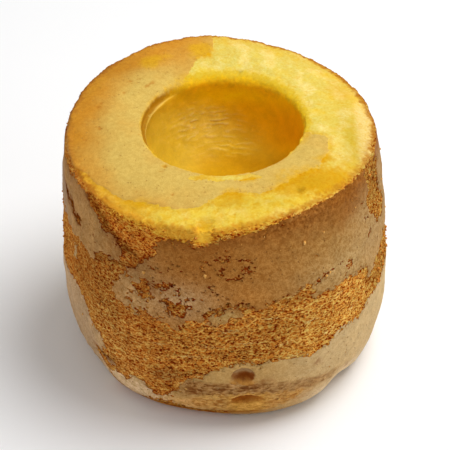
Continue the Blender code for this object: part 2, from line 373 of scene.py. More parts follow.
# Painted highlights on pale torn edges and flaps that catch the light: bearing, height, half width, half height, slope
LIGHTS = (
    (-96.2, 65.2, 1.9, 0.45, -0.15), (-55.0, 57.8, 3.2, 0.55, 0.25), (-51.5, 58.6, 1.2, 0.5, 0.1), (-94.0, 47.8, 3.4, 0.4, 0.12),
    (-89.0, 52.2, 3.0, 0.35, 0.15), (-83.0, 66.0, 2.6, 0.3, 0.25), (-111.0, 60.0, 3.0, 0.3, 0.15), (-42.0, 55.2, 1.8, 0.3, -0.2),
    (-104.5, 49.6, 1.8, 0.35, 0.3), (-121.0, 43.6, 2.0, 0.35, 0.3), (-38.0, 51.0, 4.0, 0.4, -0.15), (-66.0, 54.6, 2.4, 0.5, 0.2),
    (-46.0, 47.0, 3.0, 0.4, 0.1), (-60.0, 42.0, 3.4, 0.35, 0.1), (-74.0, 46.5, 2.4, 0.35, -0.1), (-88.0, 43.0, 3.2, 0.35, 0.05),
    (-82.0, 38.0, 3.6, 0.4, 0.1), (-94.0, 36.5, 3.0, 0.35, 0.1), (-70.0, 36.0, 3.0, 0.35, 0.1), (-101.0, 31.0, 3.4, 0.4, 0.2),
    (-54.0, 34.5, 3.0, 0.35, 0.1), (-41.0, 38.0, 2.4, 0.4, 0.15), (-112.0, 34.0, 2.6, 0.35, 0.1), (-66.0, 29.6, 2.8, 0.3, -0.1),
    (-30.5, 73.9, 1.0, 0.3, -0.4), (-45.0, 74.6, 2.6, 0.25, -0.15), (-104.0, 19.0, 2.4, 0.45, 0.5), (-99.0, 22.5, 2.6, 0.4, 0.5),
)
# Smooth golden crust low on the front, where the side turns under
GOLD_FOOT = ((-101, 12), (-95, 14.5), (-88, 15), (-74, 14.8), (-63, 13.6), (-60, 12), (-66, 9), (-75, 5), (-86, 3.5), (-93, 5.5), (-102, 8))

# ------------------------------------------------------------ skin and crumb, top
SKIN_TOP = (
    (-5, 58), (-3.5, 46), (-4, 42), (-9, 38), (-12.5, 31), (-15, 26), (0, 0), (27, -3.5), (33, -5), (34.5, -12),
    (31, -22), (24, -27), (18, -33), (12, -36), (7, -35), (0, -35.5), (-4, -38), (-7, -41.2), (-18, -41),
    (-27, -37.5), (-36, -32), (-45, -22), (-53, -14), (-62, -8), (-62, 58),
)
# Golden places on the top: x, y, half width, half depth, strength
GOLDS = (
    (-8.0, 42.5, 4.3, 4.6, 1.0), (-25.0, 36.0, 3.8, 3.4, 0.9), (-20.0, 38.5, 2.2, 2.0, 0.5), (3.0, -36.5, 4.0, 3.4, 0.7),
    (1.0, -40.0, 5.0, 1.6, 0.6), (30.0, -30.0, 12.5, 7.0, 0.95), (23.0, -34.0, 8.0, 3.6, 0.8), (7.5, -27.8, 3.0, 1.4, 0.8),
    (-5.0, -26.5, 4.0, 1.5, 0.4), (33.0, -18.5, 2.8, 2.2, 0.8), (38.5, 21.0, 4.5, 5.0, 0.3),
    (-30.0, -38.0, 6.0, 2.4, 0.5), (-19.0, -21.0, 1.4, 0.9, 0.8), (0.0, 27.6, 14.0, 2.3, 0.85), (16.0, 24.0, 6.0, 2.6, 0.5),
    (24.5, 12.0, 2.6, 7.0, 0.45), (26.5, -4.0, 2.2, 3.0, 0.5), (-48.0, 27.0, 7.0, 9.0, 0.2), (-4.0, -48.0, 4.0, 2.0, 0.3),
)
# Pits in the top: x, y, half width, half depth
PITS = (
    (-42.0, 11.0, 1.1, 0.7), (-33.0, 18.5, 0.7, 0.6), (-32.0, 25.0, 0.6, 0.5), (-29.0, 26.0, 0.6, 0.5),
    (-19.0, -21.0, 1.0, 0.6), (-41.0, 0.0, 0.7, 0.5), (5.6, 31.5, 0.6, 0.9), (-40.5, 13.0, 0.5, 0.7),
    (24.0, -35.0, 1.3, 0.8), (-16.5, -34.5, 0.6, 0.4), (-46.0, -6.0, 0.5, 0.5),
)

# ------------------------------------------------------------------ colours (sRGB)
SKIN_PALE = linear("C9AA78")
SKIN_TAN = linear("AE7434")
SKIN_BROWN = linear("945820")
SKIN_GREY = linear("BD9A68")
SKIN_WARM = linear("A4793F")
CRUMB_GOLD = linear("E6933A")
CRUMB_DARK = linear("9A5010")
FOOT_GOLD = linear("D09A44")
# brown of the smudges and of the painted shadow under the front skin
SMUDGE_AND_SHADOW_BROWN = linear("7E3A08")
TOP_TAN = linear("CDAC57")
TOP_ORANGE = linear("C88828")
TOP_YELLOW = linear("D7C666")
TOP_LEMON = linear("E3C64A")
TOP_GOLD = linear("D2A01C")
RIM_BROWN = linear("96521A")
WELL_GOLD = linear("D4AC2A")
WELL_DEEP = linear("F0B60A")


def inside(u, v, corners):
    """Signed distance to a closed outline, in mm, positive inside it."""
    best = np.full(len(u), 1e9)
    within = np.zeros(len(u), bool)
    n = len(corners)
    for k in range(n):
        ax, ay = corners[k]
        bx, by = corners[(k + 1) % n]
        ex, ey = bx - ax, by - ay
        px, py = u - ax, v - ay
        t = np.clip((px * ex + py * ey) / (ex * ex + ey * ey), 0.0, 1.0)
        d = (px - ex * t) ** 2 + (py - ey * t) ** 2
        best = np.minimum(best, d)
        crosses = (ay > v) != (by > v)
        if ay != by:
            within ^= crosses & (u < ex * (v - ay) / ey + ax)
    best = np.sqrt(best)
    return np.where(within, best, -best)


def unrolled(bearing, corners_or_at):
    return np.radians(turn_from(bearing, corners_or_at)) * GIRTH


def side_patch(bearing, du, height, corners):
    at = sum(c[0] for c in corners) / len(corners)
    flat = [(math.radians(b - at) * GIRTH, z) for b, z in corners]
    return inside(unrolled(bearing, at) + du, height, flat)


def spot(u, v, at_u, at_v, half_u, half_v, slope=0.0):
    """About the signed distance to an ellipse, positive inside."""
    x, y = u - at_u, v - at_v - slope * (u - at_u)
    return (1.0 - np.sqrt((x / half_u) ** 2 + (y / half_v) ** 2)) * min(half_u, half_v)


def side_fields(points, bearing):
    """Skin distance, depth of shade under the skin's edges, brown smudges with painted shadow under the front skin, and
    golden foot, on the side.
    """
    z = points[:, 2]
    squeezed = points * np.array([1.0, 1.0, 1.25])
    du = 1.5 * noise(squeezed, 5.0, 11) + 1.5 * noise(squeezed, 2.1, 12) + 1.1 * noise(squeezed, 1.0, 13)
    dz = 1.0 * noise(squeezed, 4.5, 21) + 1.1 * noise(squeezed, 1.9, 22) + 1.0 * noise(squeezed, 0.9, 23)
    rear = smooth(2.0, 16.0, bearing) * smooth(178.0, 164.0, bearing)
    du = du + rear * (4.5 * noise(points, 13.0, 15) + 1.2 * noise(points, 3.4, 16))
    dz = dz + rear * (5.0 * noise(points, (12.0, 12.0, 16.0), 24) + 2.4 * noise(points, 5.5, 25) + 0.8 * noise(points, 2.6, 26))
    skin = np.full(len(z), -50.0)
    for corners in SKIN_SIDE.values():
        low, high = min(c[0] for c in corners) - 6, max(c[0] for c in corners) + 6
        mid, half = (low + high) / 2, (high - low) / 2
        near = np.abs(turn_from(bearing, mid)) < half
        skin[near] = np.maximum(skin[near], side_patch(bearing[near], du[near], z[near] + dz[near], corners))
    patch = skin.copy()
    holes = np.full(len(z), -50.0)
    for b, level, wide, tall, slope in TEARS:
        near = np.abs(turn_from(bearing, b)) < math.degrees((wide + 4) / GIRTH)
        u = unrolled(bearing[near], b) + 1.1 * du[near]
        holes[near] = np.maximum(holes[near], spot(u, z[near] + 1.0 * dz[near], 0.0, level, wide, tall, slope))
    skin = np.minimum(skin, -holes)
    # ragged holes, many near the edges and the torn places, hardly any elsewhere
    frayed = noise(squeezed, (2.0, 2.0, 1.5), 31) + 0.75 * noise(squeezed, 0.95, 32)
    limit = 1.08 - 0.12 * noise(points, 11.0, 35) - 0.40 * np.exp(-((skin / 1.9) ** 2))
    limit = limit - 0.30 * np.exp(-((unrolled(bearing, -115.0) / 10.0) ** 2)) * smooth(64.0, 56.0, z)
    limit = limit - 0.16 * np.exp(-((unrolled(bearing, -100.0) / 15.0) ** 2 + ((z - 66.0) / 8.0) ** 2))
    limit = limit - rear * 0.22 * smooth(0.05, 0.5, noise(points, 9.0, 36))
    skin = np.minimum(skin, (limit - frayed) * 2.2)
    # scraps of skin left on the crumb beside the patches
    clinging = noise(squeezed, (2.4, 2.4, 1.6), 33) + 0.6 * noise(squeezed, 1.0, 34)
    skin = np.maximum(skin, (clinging - 1.75 + 0.95 * np.exp(-((patch / 2.2) ** 2))) * 2.0)

    below_rim = rim_height(np.radians(bearing)) - z
    under = 0.62 - 0.50 * smooth(8.0, 3.5, below_rim)
    calm = smooth(-106.0, -96.0, bearing) * smooth(40.0, 36.0, z)
    under = under * (1 - 0.72 * calm)
    steep = np.exp(-((unrolled(bearing, -136.0) / 15.0) ** 2)) * smooth(56.0, 62.0, z)
    under = np.clip(under + 0.38 * steep + 0.35 * smooth(-1.2, 0.2, holes), 0, 1)

    smudge_and_shadow = np.zeros(len(z))
    # brown smudges, and painted shadow under the front skin's lower edge
    for b, level, wide, tall, slope, strength in SMUDGES_AND_SHADOWS:
        near = np.abs(turn_from(bearing, b)) < math.degrees(3.2 * wide / GIRTH)
        u = unrolled(bearing[near], b) + du[near]
        v = z[near] + 0.8 * dz[near]
        r = ((u / wide) ** 2 + ((v - level - slope * u) / tall) ** 2)
        smudge_and_shadow[near] = np.maximum(smudge_and_shadow[near], strength * np.exp(-0.8 * r))
    gold = smooth(-0.8, 1.2, side_patch(bearing, du, z + dz, GOLD_FOOT))
    return skin, under, smudge_and_shadow, gold


def crumb_relief(points, squeeze=1.0):
    """Torn sponge: thin bowed walls round open cells, lying mostly level, with some deeper pits."""
    level = points * np.array([squeeze, squeeze, 1.55])
    level = level + 0.55 * np.stack([noise(points, 1.9, 41), noise(points, 1.9, 42), noise(points, 1.9, 43)], -1)
    first, second, tag = cells(level, 1.3, 44)
    wall = np.exp(-(((second - first) / 0.20) ** 2))
    strand = 1.0 - np.minimum(1.0, np.abs(noise(level, (2.9, 2.9, 1.6), 48)) * 5.0)
    bed = (0.5 - first) + 0.5 * (tag - 0.5)
    pits = smooth(0.18, 0.55, noise(level, 1.8, 45))
    fine = noise(level, 0.75, 46)
    coarse = layered(level, (4.6, 4.6, 3.6), 47, 2)
    return 0.30 * wall + 0.34 * strand + 0.34 * bed + 0.22 * fine + 0.18 * coarse - 0.40 * pits - 0.10


# ------------------------------------------------------------------ the cake body
def build_body():
    plan, coarse_plan = ring_plan()
    n = AROUND
    angle = -math.pi + 2 * math.pi * np.arange(n) / n
    half = angle[::2]
    fine = np.array([ring(part, s, angle) for part, s in plan])
    coarse = np.array([ring(part, s, half) for part, s in coarse_plan])
    fine_part = np.repeat([p for p, _ in plan], n)
    coarse_part = np.repeat([p for p, _ in coarse_plan], n // 2)
    fine_share = np.repeat([s for _, s in plan], n)
    coarse_share = np.repeat([s for _, s in coarse_plan], n // 2)

    def normals(grid, before=None, after=None):
        along = np.roll(grid, -1, axis=1) - np.roll(grid, 1, axis=1)
        stack = grid
        if before is not None:
            stack = np.concatenate([before[None], stack])
        if after is not None:
            stack = np.concatenate([stack, after[None]])
        up = np.gradient(stack, axis=0)
        if before is not None:
            up = up[1:]
        if after is not None:
            up = up[:-1]
        out = np.cross(along, up)
        return out / np.maximum(np.linalg.norm(out, axis=-1, keepdims=True), 1e-9)

    normal_fine = normals(fine, after=ring(*coarse_plan[0], angle))
    normal_coarse = normals(coarse, before=fine[-1][::2])
    base_rows = sum(1 for p, _ in plan if p == BASE)
    normal_fine[:base_rows] = (0, 0, -1)

    points = np.concatenate([fine.reshape(-1, 3), coarse.reshape(-1, 3)])
    normal = np.concatenate([normal_fine.reshape(-1, 3), normal_coarse.reshape(-1, 3)])
    part = np.concatenate([fine_part, coarse_part])
    share = np.concatenate([fine_share, coarse_share])
    floor = RIM_HEIGHT + 0.8 * DOME - WELL_DEPTH
    points = np.concatenate([points, [(WELL_CENTRE[0], WELL_CENTRE[1], floor), (0.0, 0.0, 0.0)]])
    normal = np.concatenate([normal, [(0, 0, 1), (0, 0, -1)]])
    part = np.concatenate([part, [BOWL, BASE]])
    share = np.concatenate([share, [math.pi / 2, 0.0]])

    moved, fields = dress(points, normal, part, share)

    # faces
    rows = len(plan)
    k = np.arange(n)
    j = (k + 1) % n
    faces = []
    for r in range(rows - 1):
        a, b = r * n, (r + 1) * n
        flip = (k + r) % 2 == 0
        faces.append(np.where(flip[:, None], np.stack([a + k, a + j, b + j], -1), np.stack([a + k, a + j, b + k], -1)))
        faces.append(np.where(flip[:, None], np.stack([a + k, b + j, b + k], -1), np.stack([a + j, b + j, b + k], -1)))
    m = n // 2
    h = np.arange(m)
    g = (h + 1) % m
    a, b = (rows - 1) * n, rows * n
    faces.append(np.stack([a + 2 * h, a + 2 * h + 1, b + h], -1))
    faces.append(np.stack([a + 2 * h + 1, a + (2 * h + 2) % n, b + g], -1))
    faces.append(np.stack([a + 2 * h + 1, b + g, b + h], -1))
    for r in range(len(coarse_plan) - 1):
        a, b = rows * n + r * m, rows * n + (r + 1) * m
        faces.append(np.stack([a + h, a + g, b + g], -1))
        faces.append(np.stack([a + h, b + g, b + h], -1))
    last = rows * n + (len(coarse_plan) - 1) * m
    centre = len(points) - 2
    faces.append(np.stack([last + h, last + g, np.full(m, centre)], -1))
    faces.append(np.stack([k, np.full(n, len(points) - 1), j], -1)[:, [0, 1, 2]])
    faces = np.concatenate(faces)

    mesh = mesh_of("cake_body", moved, faces, fields)
    holder = bpy.data.objects.new("cake_dense", mesh)
    bpy.context.scene.collection.objects.link(holder)
    thin = holder.modifiers.new("thin", "DECIMATE")
    thin.ratio = BODY_TRIANGLES / len(faces)
    thin.use_collapse_triangulate = True
    graph = bpy.context.evaluated_depsgraph_get()
    light = bpy.data.meshes.new_from_object(holder.evaluated_get(graph), preserve_all_data_layers=True, depsgraph=graph)
    bpy.data.objects.remove(holder, do_unlink=True)
    bpy.data.meshes.remove(mesh)
    light.name = "cake_body"
    light.shade_smooth()
    body = bpy.data.objects.new("cake_body", light)
    bpy.context.scene.collection.objects.link(body)
    return body, (points, normal, moved, part, fields)


def mesh_of(name, points, faces, fields=None):
    """A mesh from points in mm, moved to the frame and written in metres."""
    mesh = bpy.data.meshes.new(name)
    place = (np.asarray(points) + np.array([MIDDLE[0], MIDDLE[1], 0.0])) * MM
    mesh.vertices.add(len(place))
    mesh.vertices.foreach_set("co", place.astype(np.float32).ravel())
    faces = np.asarray(faces, np.int32)
    mesh.loops.add(faces.size)
    mesh.loops.foreach_set("vertex_index", faces.ravel())
    mesh.polygons.add(len(faces))
    mesh.polygons.foreach_set("loop_start", np.arange(0, faces.size, faces.shape[1], dtype=np.int32))
    mesh.update(calc_edges=True)
    for key, values in (fields or {}).items():
        values = np.asarray(values, np.float32)
        if values.ndim == 1:
            mesh.attributes.new(key, "FLOAT", "POINT").data.foreach_set("value", values)
        else:
            full = np.concatenate([values, np.ones((len(values), 1), np.float32)], 1)
            mesh.attributes.new(key, "FLOAT_COLOR", "POINT").data.foreach_set("color", full.ravel())
    return mesh


def blend(first, second, weight):
    weight = np.asarray(weight)[:, None]
    return first * (1 - weight) + second * weight


def dress(points, normal, part, share):
    """Moves the plain shape's points out and in for its relief, and works out the colours."""
    count = len(points)
    x, y, z = points.T
    bearing = np.degrees(np.arctan2(y, x))
    angle = np.radians(bearing)
    lift = np.zeros(count)
    skin = np.full(count, 2.0)
    relief = np.zeros(count)
    under = np.full(count, 0.1)
    mild = np.zeros(count)
    streaky = np.zeros(count)
    mottled = np.ones(count)
    well = np.zeros(count)
    skin_tone = np.tile(SKIN_TAN, (count, 1))
    crumb_tone = np.tile(CRUMB_GOLD, (count, 1))

    # distance to the outer edge of the top, over the round of the edge
    edge_away = np.full(count, 50.0)
    on_side = part == SIDE
    edge_away[on_side] = (rim_height(angle[on_side]) - z[on_side])
    on_edge = part == EDGE
    over = np.zeros(count)
    over[on_edge] = share[on_edge] / (math.pi / 2)
    over[part >= TOP] = 1.0
    edge_away[on_edge] = RIM_ROUND * (1 - share[on_edge] / (math.pi / 2))
    on_top = part == TOP
    edge_r = side_radius(angle, rim_height(angle) - RIM_ROUND) - RIM_ROUND
    top_in = edge_r - np.hypot(x, y)
    well_r = np.hypot(x - WELL_CENTRE[0], y - WELL_CENTRE[1])

    # ---- side (and the outer edge, as far as the side's skin runs up on to it)
    sel = np.flatnonzero((part == SIDE) | on_edge)
    p, b, h = points[sel], bearing[sel], z[sel]
    s_skin, s_under, smudge_and_shadow, gold = side_fields(p, b)
    e = edge_away[sel]
    foot = smooth(6.0, 2.0, h)
    # the torn crumb is fine and close on the left and just under the rim, and open elsewhere
    leftish = np.clip(smooth(-100.0, -124.0, b) + smooth(140.0, 172.0, b), 0, 1)
    close_top = smooth(14.0, 6.0, e) * smooth(-170.0, -152.0, b) * smooth(-60.0, -76.0, b)
    rightish = smooth(-70.0, -48.0, b) * smooth(20.0, 0.0, b)
    openness = 1.0 - np.maximum(np.maximum(0.55 * leftish, 0.62 * close_top), 0.34 * rightish)
    crumb = crumb_relief(p)
    drawn = rightish > 0.0
    crumb[drawn] = crumb[drawn] * (1 - rightish[drawn]) + crumb_relief(p[drawn], 0.55) * rightish[drawn]
    crumb = crumb * openness
    s_under = s_under * (1.0 - 0.45 * leftish * smooth(62.0, 54.0, h))
    coarse_grain = 0.66 + 0.26 * np.exp(-((unrolled(b, -92.0) / 34.0) ** 2)) + 0.12 * noise(p, 12.0, 50)
    wave = 0.45 * noise(p, (16.0, 16.0, 11.0), 51) + 0.22 * noise(p, 6.5, 52)
    film = 0.10 * noise(p, (6.0, 6.0, 4.0), 53) + 0.05 * noise(p, 1.7, 54) + 0.03 * noise(p, 0.8, 55)
    on = smooth(-0.14, 0.14, s_skin)
    curl = 0.10 * np.exp(-((s_skin - 0.45) / 0.5) ** 2)
    skin_lift = 0.22 * (0.5 + 0.5 * openness) + film + curl * openness
    crumb_lift = (-0.20 - 0.25 * smooth(0.0, -3.0, s_skin)) * (0.3 + 0.7 * openness) + crumb * coarse_grain
    # brown wrinkles above the foot at the front, running down to the right
    mid = 17.6 - 4.6 * smooth(-80.0, -42.0, b)
    wide = 3.0 - 1.0 * smooth(-80.0, -45.0, b)
    at_band = h + 0.5 * noise(p, 4.0, 49) - mid
    wrinkle = smooth(-wide - 0.8, -wide + 0.8, at_band) * smooth(wide + 0.8, wide - 0.8, at_band)
    wrinkle = wrinkle * smooth(-107.0, -101.0, b) * smooth(-38.0, -58.0, b)
    slanted = p + np.stack([0 * h, 0 * h, 0.12 * unrolled(b, -80.0) * smooth(-84.0, -70.0, b)], -1)
    ripple = noise(slanted, (2.3, 2.3, 0.85), 57) + 0.7 * noise(slanted, (1.1, 1.1, 0.6), 56)
    skin_lift = skin_lift + wrinkle * 0.30 * ripple
    # rough golden-brown grain just under the rim at the front right
    rough = smooth(12.0, 3.0, e + 3.0 * noise(p, 4.0, 68)) * smooth(-90.0, -74.0, b) * smooth(-8.0, -24.0, b)
    grit = noise(p, 1.1, 69) + 0.7 * noise(p, 0.6, 70)
    skin_lift = skin_lift + rough * 0.16 * grit
    side_lift = crumb_lift * (1 - on) + skin_lift * on
    streak = noise(p, (2.0, 2.0, 0.9), 58) + 0.8 * noise(p, (0.9, 0.9, 0.6), 60)
    side_lift = side_lift * (1 - gold * 0.8) + gold * (0.05 + 0.16 * streak)
    # the two dents are crisp at their upper edge
    dimple = np.zeros(len(sel))
    hollow = np.zeros(len(sel))
    du = unrolled(b, -83.6) + 0.25 * noise(p, 1.6, 113)
    dv = h - 24.1 + 0.25 * noise(p, 1.3, 114)
    reach = (du / 3.75) ** 2 + (dv / 3.5) ** 2
    dimple = smooth(1.06, 0.90, reach)
    hu = unrolled(b, -82.0) + 0.3 * noise(p, 1.6, 115)
    hv = h - 11.4 + 0.3 * noise(p, 1.3, 116)
    lens = (hu / 5.4) ** 2 + (np.where(hv > 0, hv / 2.6, hv / 1.8)) ** 2
    hollow = np.where(hv > 0, smooth(1.08, 0.92, lens), smooth(1.4, 0.5, lens))
    side_lift = side_lift - 0.18 * dimple * smooth(-3.5, 1.0, dv) - 0.30 * hollow * smooth(-1.5, 1.2, hv)
    # a line under the golden foot
    groove = np.exp(-((h - 4.8 - 0.5 * noise(p, 7.0, 59)) / 0.5) ** 2) * smooth(-118.0, -108.0, b) * smooth(-72.0, -80.0, b)
    side_lift = side_lift - 0.5 * groove
    side_lift = side_lift + wave
    side_lift = side_lift * (1 - foot * 0.85)
    # the foot is drawn in a little further at the front, and torn back at the lower right and lower left
    side_lift = side_lift - 0.6 * smooth(8.0, 0.5, h) * np.exp(-((unrolled(b, -100.0) / 13.0) ** 2))
    side_lift = side_lift - 2.0 * smooth(20.0, 3.0, h) * np.exp(-((unrolled(b, -42.0) / 8.0) ** 2)) * (1 + 0.2 * noise(p, 3.0, 133))
    side_lift = side_lift - 1.4 * smooth(26.0, 16.0, h) * smooth(-0.5, 3.0, h) * np.exp(-((unrolled(b, -154.0) / 13.0) ** 4)) * (1 + 0.3 * noise(p, 3.0, 134))
    side_lift = side_lift - 0.7 * np.exp(-((unrolled(b, -168.0) / 10.0) ** 2 + ((h - 58.0) / 12.0) ** 2))
    # ragged outer edge of the top
    ragged = np.exp(-((e / 2.6) ** 2))
    chips = 0.42 * layered(p, (3.4, 3.4, 2.6), 61, 3, 0.6) + 0.40 * noise(p, 7.5, 118)
    side_lift = side_lift + ragged * (chips - 0.1 + 0.14 * grit)

    tone = np.tile(SKIN_TAN, (len(sel), 1))
    right = smooth(-92.0, -42.0, b) * smooth(60.0, 10.0, b) + smooth(20.0, 60.0, b) * smooth(150.0, 100.0, b) * 0.6
    low = smooth(46.0, 34.0, h)
    left = smooth(-124.0, -146.0, b) + smooth(150.0, 178.0, b)
    tone = blend(tone, SKIN_WARM, np.clip(right, 0, 1))
    tone = blend(tone, linear("BE965A"), low)
    tone = blend(tone, SKIN_PALE, np.clip(low * smooth(-82.0, -50.0, b) + 0.30 * smooth(-52.0, -24.0, b) * smooth(10.0, -10.0, b), 0, 1))
    tone = blend(tone, SKIN_GREY, np.clip(left, 0, 1) * 0.9)
    tone = blend(tone, linear("C29459"), np.clip(left, 0, 1) * smooth(50.0, 58.0, h) * smooth(-118.0, -126.0, b) * 0.8)
    tone = blend(tone, SKIN_GREY, 0.62 * np.exp(-((unrolled(b, -122.0) / 8.0) ** 2)) * smooth(76.0, 62.0, h))
    tone = blend(tone, linear("C6A274"), 0.70 * np.exp(-((unrolled(b, -105.0) / 11.0) ** 2 + ((h - 54.0) / 7.0) ** 2)))
    tone = blend(tone, linear("BC9A64"), 0.70 * np.exp(-((unrolled(b, -45.0) / 17.0) ** 2 + ((h - 57.0) / 7.0) ** 2)))
    tone = tone * (1.0 + 0.14 * np.exp(-((unrolled(b, -80.0) / 10.0) ** 2 + ((h - 56.0) / 3.0) ** 2)))[:, None]
    # greyer at the far left edge of the side: painted cool light grazing that edge
    tone = blend(tone, linear("AE927A"), 0.8 * np.exp(-((turn_from(b, -174.0) / 10.0) ** 2)) * smooth(48.0, 54.0, h) * smooth(76.0, 68.0, h))
    tone = blend(tone, linear("C2A062"), 0.75 * np.exp(-((unrolled(b, -90.0) / 6.0) ** 2 + ((h - 49.5) / 3.0) ** 2)))
    # browner just under the rim and in the front middle below the chip: partly brown crust, partly painted shade under
    # the rim
    upper = smooth(54.0, 74.0, h) * np.exp(-((unrolled(b, -98.0) / 12.0) ** 2))
    brown = smooth(8.5, 2.0, e) * (0.85 + 0.4 * noise(p, 5.0, 62)) * (1 - 0.55 * np.clip(left, 0, 1))
    tone = blend(tone, SKIN_BROWN, np.clip(brown + 0.55 * upper, 0, 1))
    golden_film = np.exp(-((unrolled(b, -140.0) / 4.5) ** 2 + ((h - 22.0) / 5.0) ** 2))
    tone = blend(tone, linear("C89A52"), 0.85 * golden_film)
    stain = np.exp(-((unrolled(b, -110.0) / 6.0) ** 2 + ((h - 21.0 - 0.15 * unrolled(b, -110.0)) / 4.0) ** 2))
    stain = smooth(0.30, 0.75, stain + 0.25 * noise(p, 2.6, 139))
    tone = blend(tone, linear("8E5620"), 0.85 * np.exp(-((unrolled(b, -111.0) / 6.0) ** 2 + ((h - 21.0) / 5.0) ** 2)))
    tone = blend(tone, linear("BC9A74"), np.clip(left, 0, 1) * smooth(46.0, 38.0, h) * 0.9)
    tone = blend(tone, linear("E4C294"), smooth(-105.0, -116.0, b) * smooth(-146.0, -138.0, b) * smooth(15.0, 11.0, h))
    tone = blend(tone, linear("DAA662"), np.exp(-((unrolled(b, -103.0) / 8.0) ** 2 + ((h - 9.0) / 3.0) ** 2)))
    tone = blend(tone, linear("DAC09A"), smooth(13.0, 7.0, h) * smooth(-66.0, -54.0, b) * smooth(20.0, 0.0, b) * 0.8)
    wrinkle = wrinkle * (1.0 - 0.45 * smooth(-80.0, -70.0, b))
    tone = blend(tone, linear("A06C38"), wrinkle * 0.62)
    tone = blend(tone, linear("6C360A"), wrinkle * smooth(0.14, 0.36, ripple) * 0.85)
    tone = blend(tone, linear("C49C68"), wrinkle * smooth(-0.12, -0.45, ripple) * 0.55)
    drawn_in = np.exp(-((unrolled(b, -60.0) / 9.0) ** 2 + ((h - 13.5) / 4.0) ** 2))
    tone = tone * (1.0 - drawn_in[:, None] * np.array([0.10, 0.18, 0.28]))
    tone = blend(tone, linear("985A1E"), rough * 0.45)
    tone = blend(tone, linear("C08440"), rough * smooth(0.10, 0.50, grit) * 0.60)
    tone = blend(tone, linear("6E3A0E"), rough * smooth(-0.10, -0.45, grit) * 0.65)
    zone = smooth(17.0, 9.0, e + 2.5 * noise(p, 5.0, 149)) * smooth(-88.0, -66.0, b) * smooth(-12.0, -26.0, b)
    tone = blend(tone, linear("8E5418"), zone * (0.22 + 0.48 * np.exp(-((turn_from(b, -41.0) / 12.0) ** 2))))
    # speckled crust right of the lower dent
    speckled = np.exp(-((unrolled(b, -66.0) / 7.0) ** 2 + ((h - 9.5) / 3.4) ** 2))
    tone = blend(tone, linear("A8641C"), speckled * smooth(-0.10, 0.35, streak) * 0.85)
    # the golden crust is clearest under the lower dent and streaky on both sides of it
    core = smooth(-91.0, -86.0, b) * smooth(-72.0, -78.0, b)
    tone = blend(tone, FOOT_GOLD, gold * (0.30 + 0.65 * core))
    tone = blend(tone, linear("E2AE5A"), gold * smooth(0.10, 0.55, streak) * (0.35 + 0.35 * core))
    tone = blend(tone, linear("A05C14"), gold * smooth(0.05, -0.4, streak) * (0.80 - 0.45 * core))
    # brown smudges, and painted shadow under the front skin's lower edge
    tone = blend(tone, SMUDGE_AND_SHADOW_BROWN, np.clip(smudge_and_shadow * 1.0, 0, 1))
    blot = 0.6 * noise(p, 2.0, 117) + 0.3 * noise(p, 0.9, 135)
    ringed = np.exp(-((unrolled(b, -86.0) / 8.0) ** 2 + ((h - 25.0) / 6.0) ** 2))
    tone = tone * (1.0 + 0.09 * ringed)[:, None]
    tone = blend(tone, linear("A07E56"), dimple * 0.95)
    tone = blend(tone, linear("7C5430"), dimple * smooth(0.50, 0.95, reach + 0.2 * blot) * smooth(0.2, 1.6, dv) * 0.6)
    tone = blend(tone, linear("925826"), dimple * smooth(1.7, 0.4, dv + blot) * 0.9)
    tone = blend(tone, linear("783808"), dimple * smooth(0.9, -0.4, dv - 0.20 * du + blot) * smooth(-3.3, -1.4, dv + blot) * smooth(-3.4, -1.2, du) * 0.95)
    tone = blend(tone, linear("C88A3C"), smooth(1.5, 0.9, (du / 3.6) ** 2 + ((dv + 3.0) / 1.1) ** 2) * smooth(-0.2, 0.3, blot + 0.2) * 0.75)
    tone = blend(tone, linear("96500F"), hollow * (0.95 - 0.35 * smooth(0.0, 5.0, hu)) * smooth(-2.2, 0.4, hv))
    tone = blend(tone, linear("743408"), hollow * smooth(0.4, 1.7, hv + 0.4 * blot) * smooth(4.5, 2.0, hu) * 0.8)
    tone = blend(tone, linear("96560F"), groove * 0.8)
    # darker and combed downwards on the left
    wedge_dark = leftish * smooth(53.0, 60.0, h)
    combed = 0.5 * noise(p, (1.5, 1.5, 7.0), 136) + 0.5 * noise(p, (0.8, 0.8, 3.0), 137)
    tone = tone * (1.0 - wedge_dark[:, None] * np.array([0.20, 0.25, 0.32]) + (0.20 * leftish * combed)[:, None])
    tone = tone * (1.0 - 0.10 * smooth(-42.0, -26.0, b) * smooth(48.0, 58.0, h))[:, None]
    # the hidden sides vary from pale to brown in wide soft clouds
    rear = smooth(2.0, 20.0, b) * smooth(178.0, 160.0, b)
    clouds = layered(p, (17.0, 17.0, 11.0), 138, 3)
    tone = blend(tone, SKIN_BROWN, rear * smooth(0.05, 0.45, clouds) * 0.6)
    tone = blend(tone, SKIN_PALE, rear * smooth(0.0, -0.4, clouds) * 0.45)
    tone = tone * (1.0 + 0.10 * noise(p, 3.5, 64) + 0.07 * noise(p, 1.4, 65) + 0.06 * noise(p, 0.7, 63))[:, None]

    grain = np.tile(CRUMB_GOLD, (len(sel), 1))
    grain = grain * (1.0 + 0.10 * noise(p, (6.0, 6.0, 3.5), 66) + 0.08 * noise(p, 2.4, 67))[:, None]
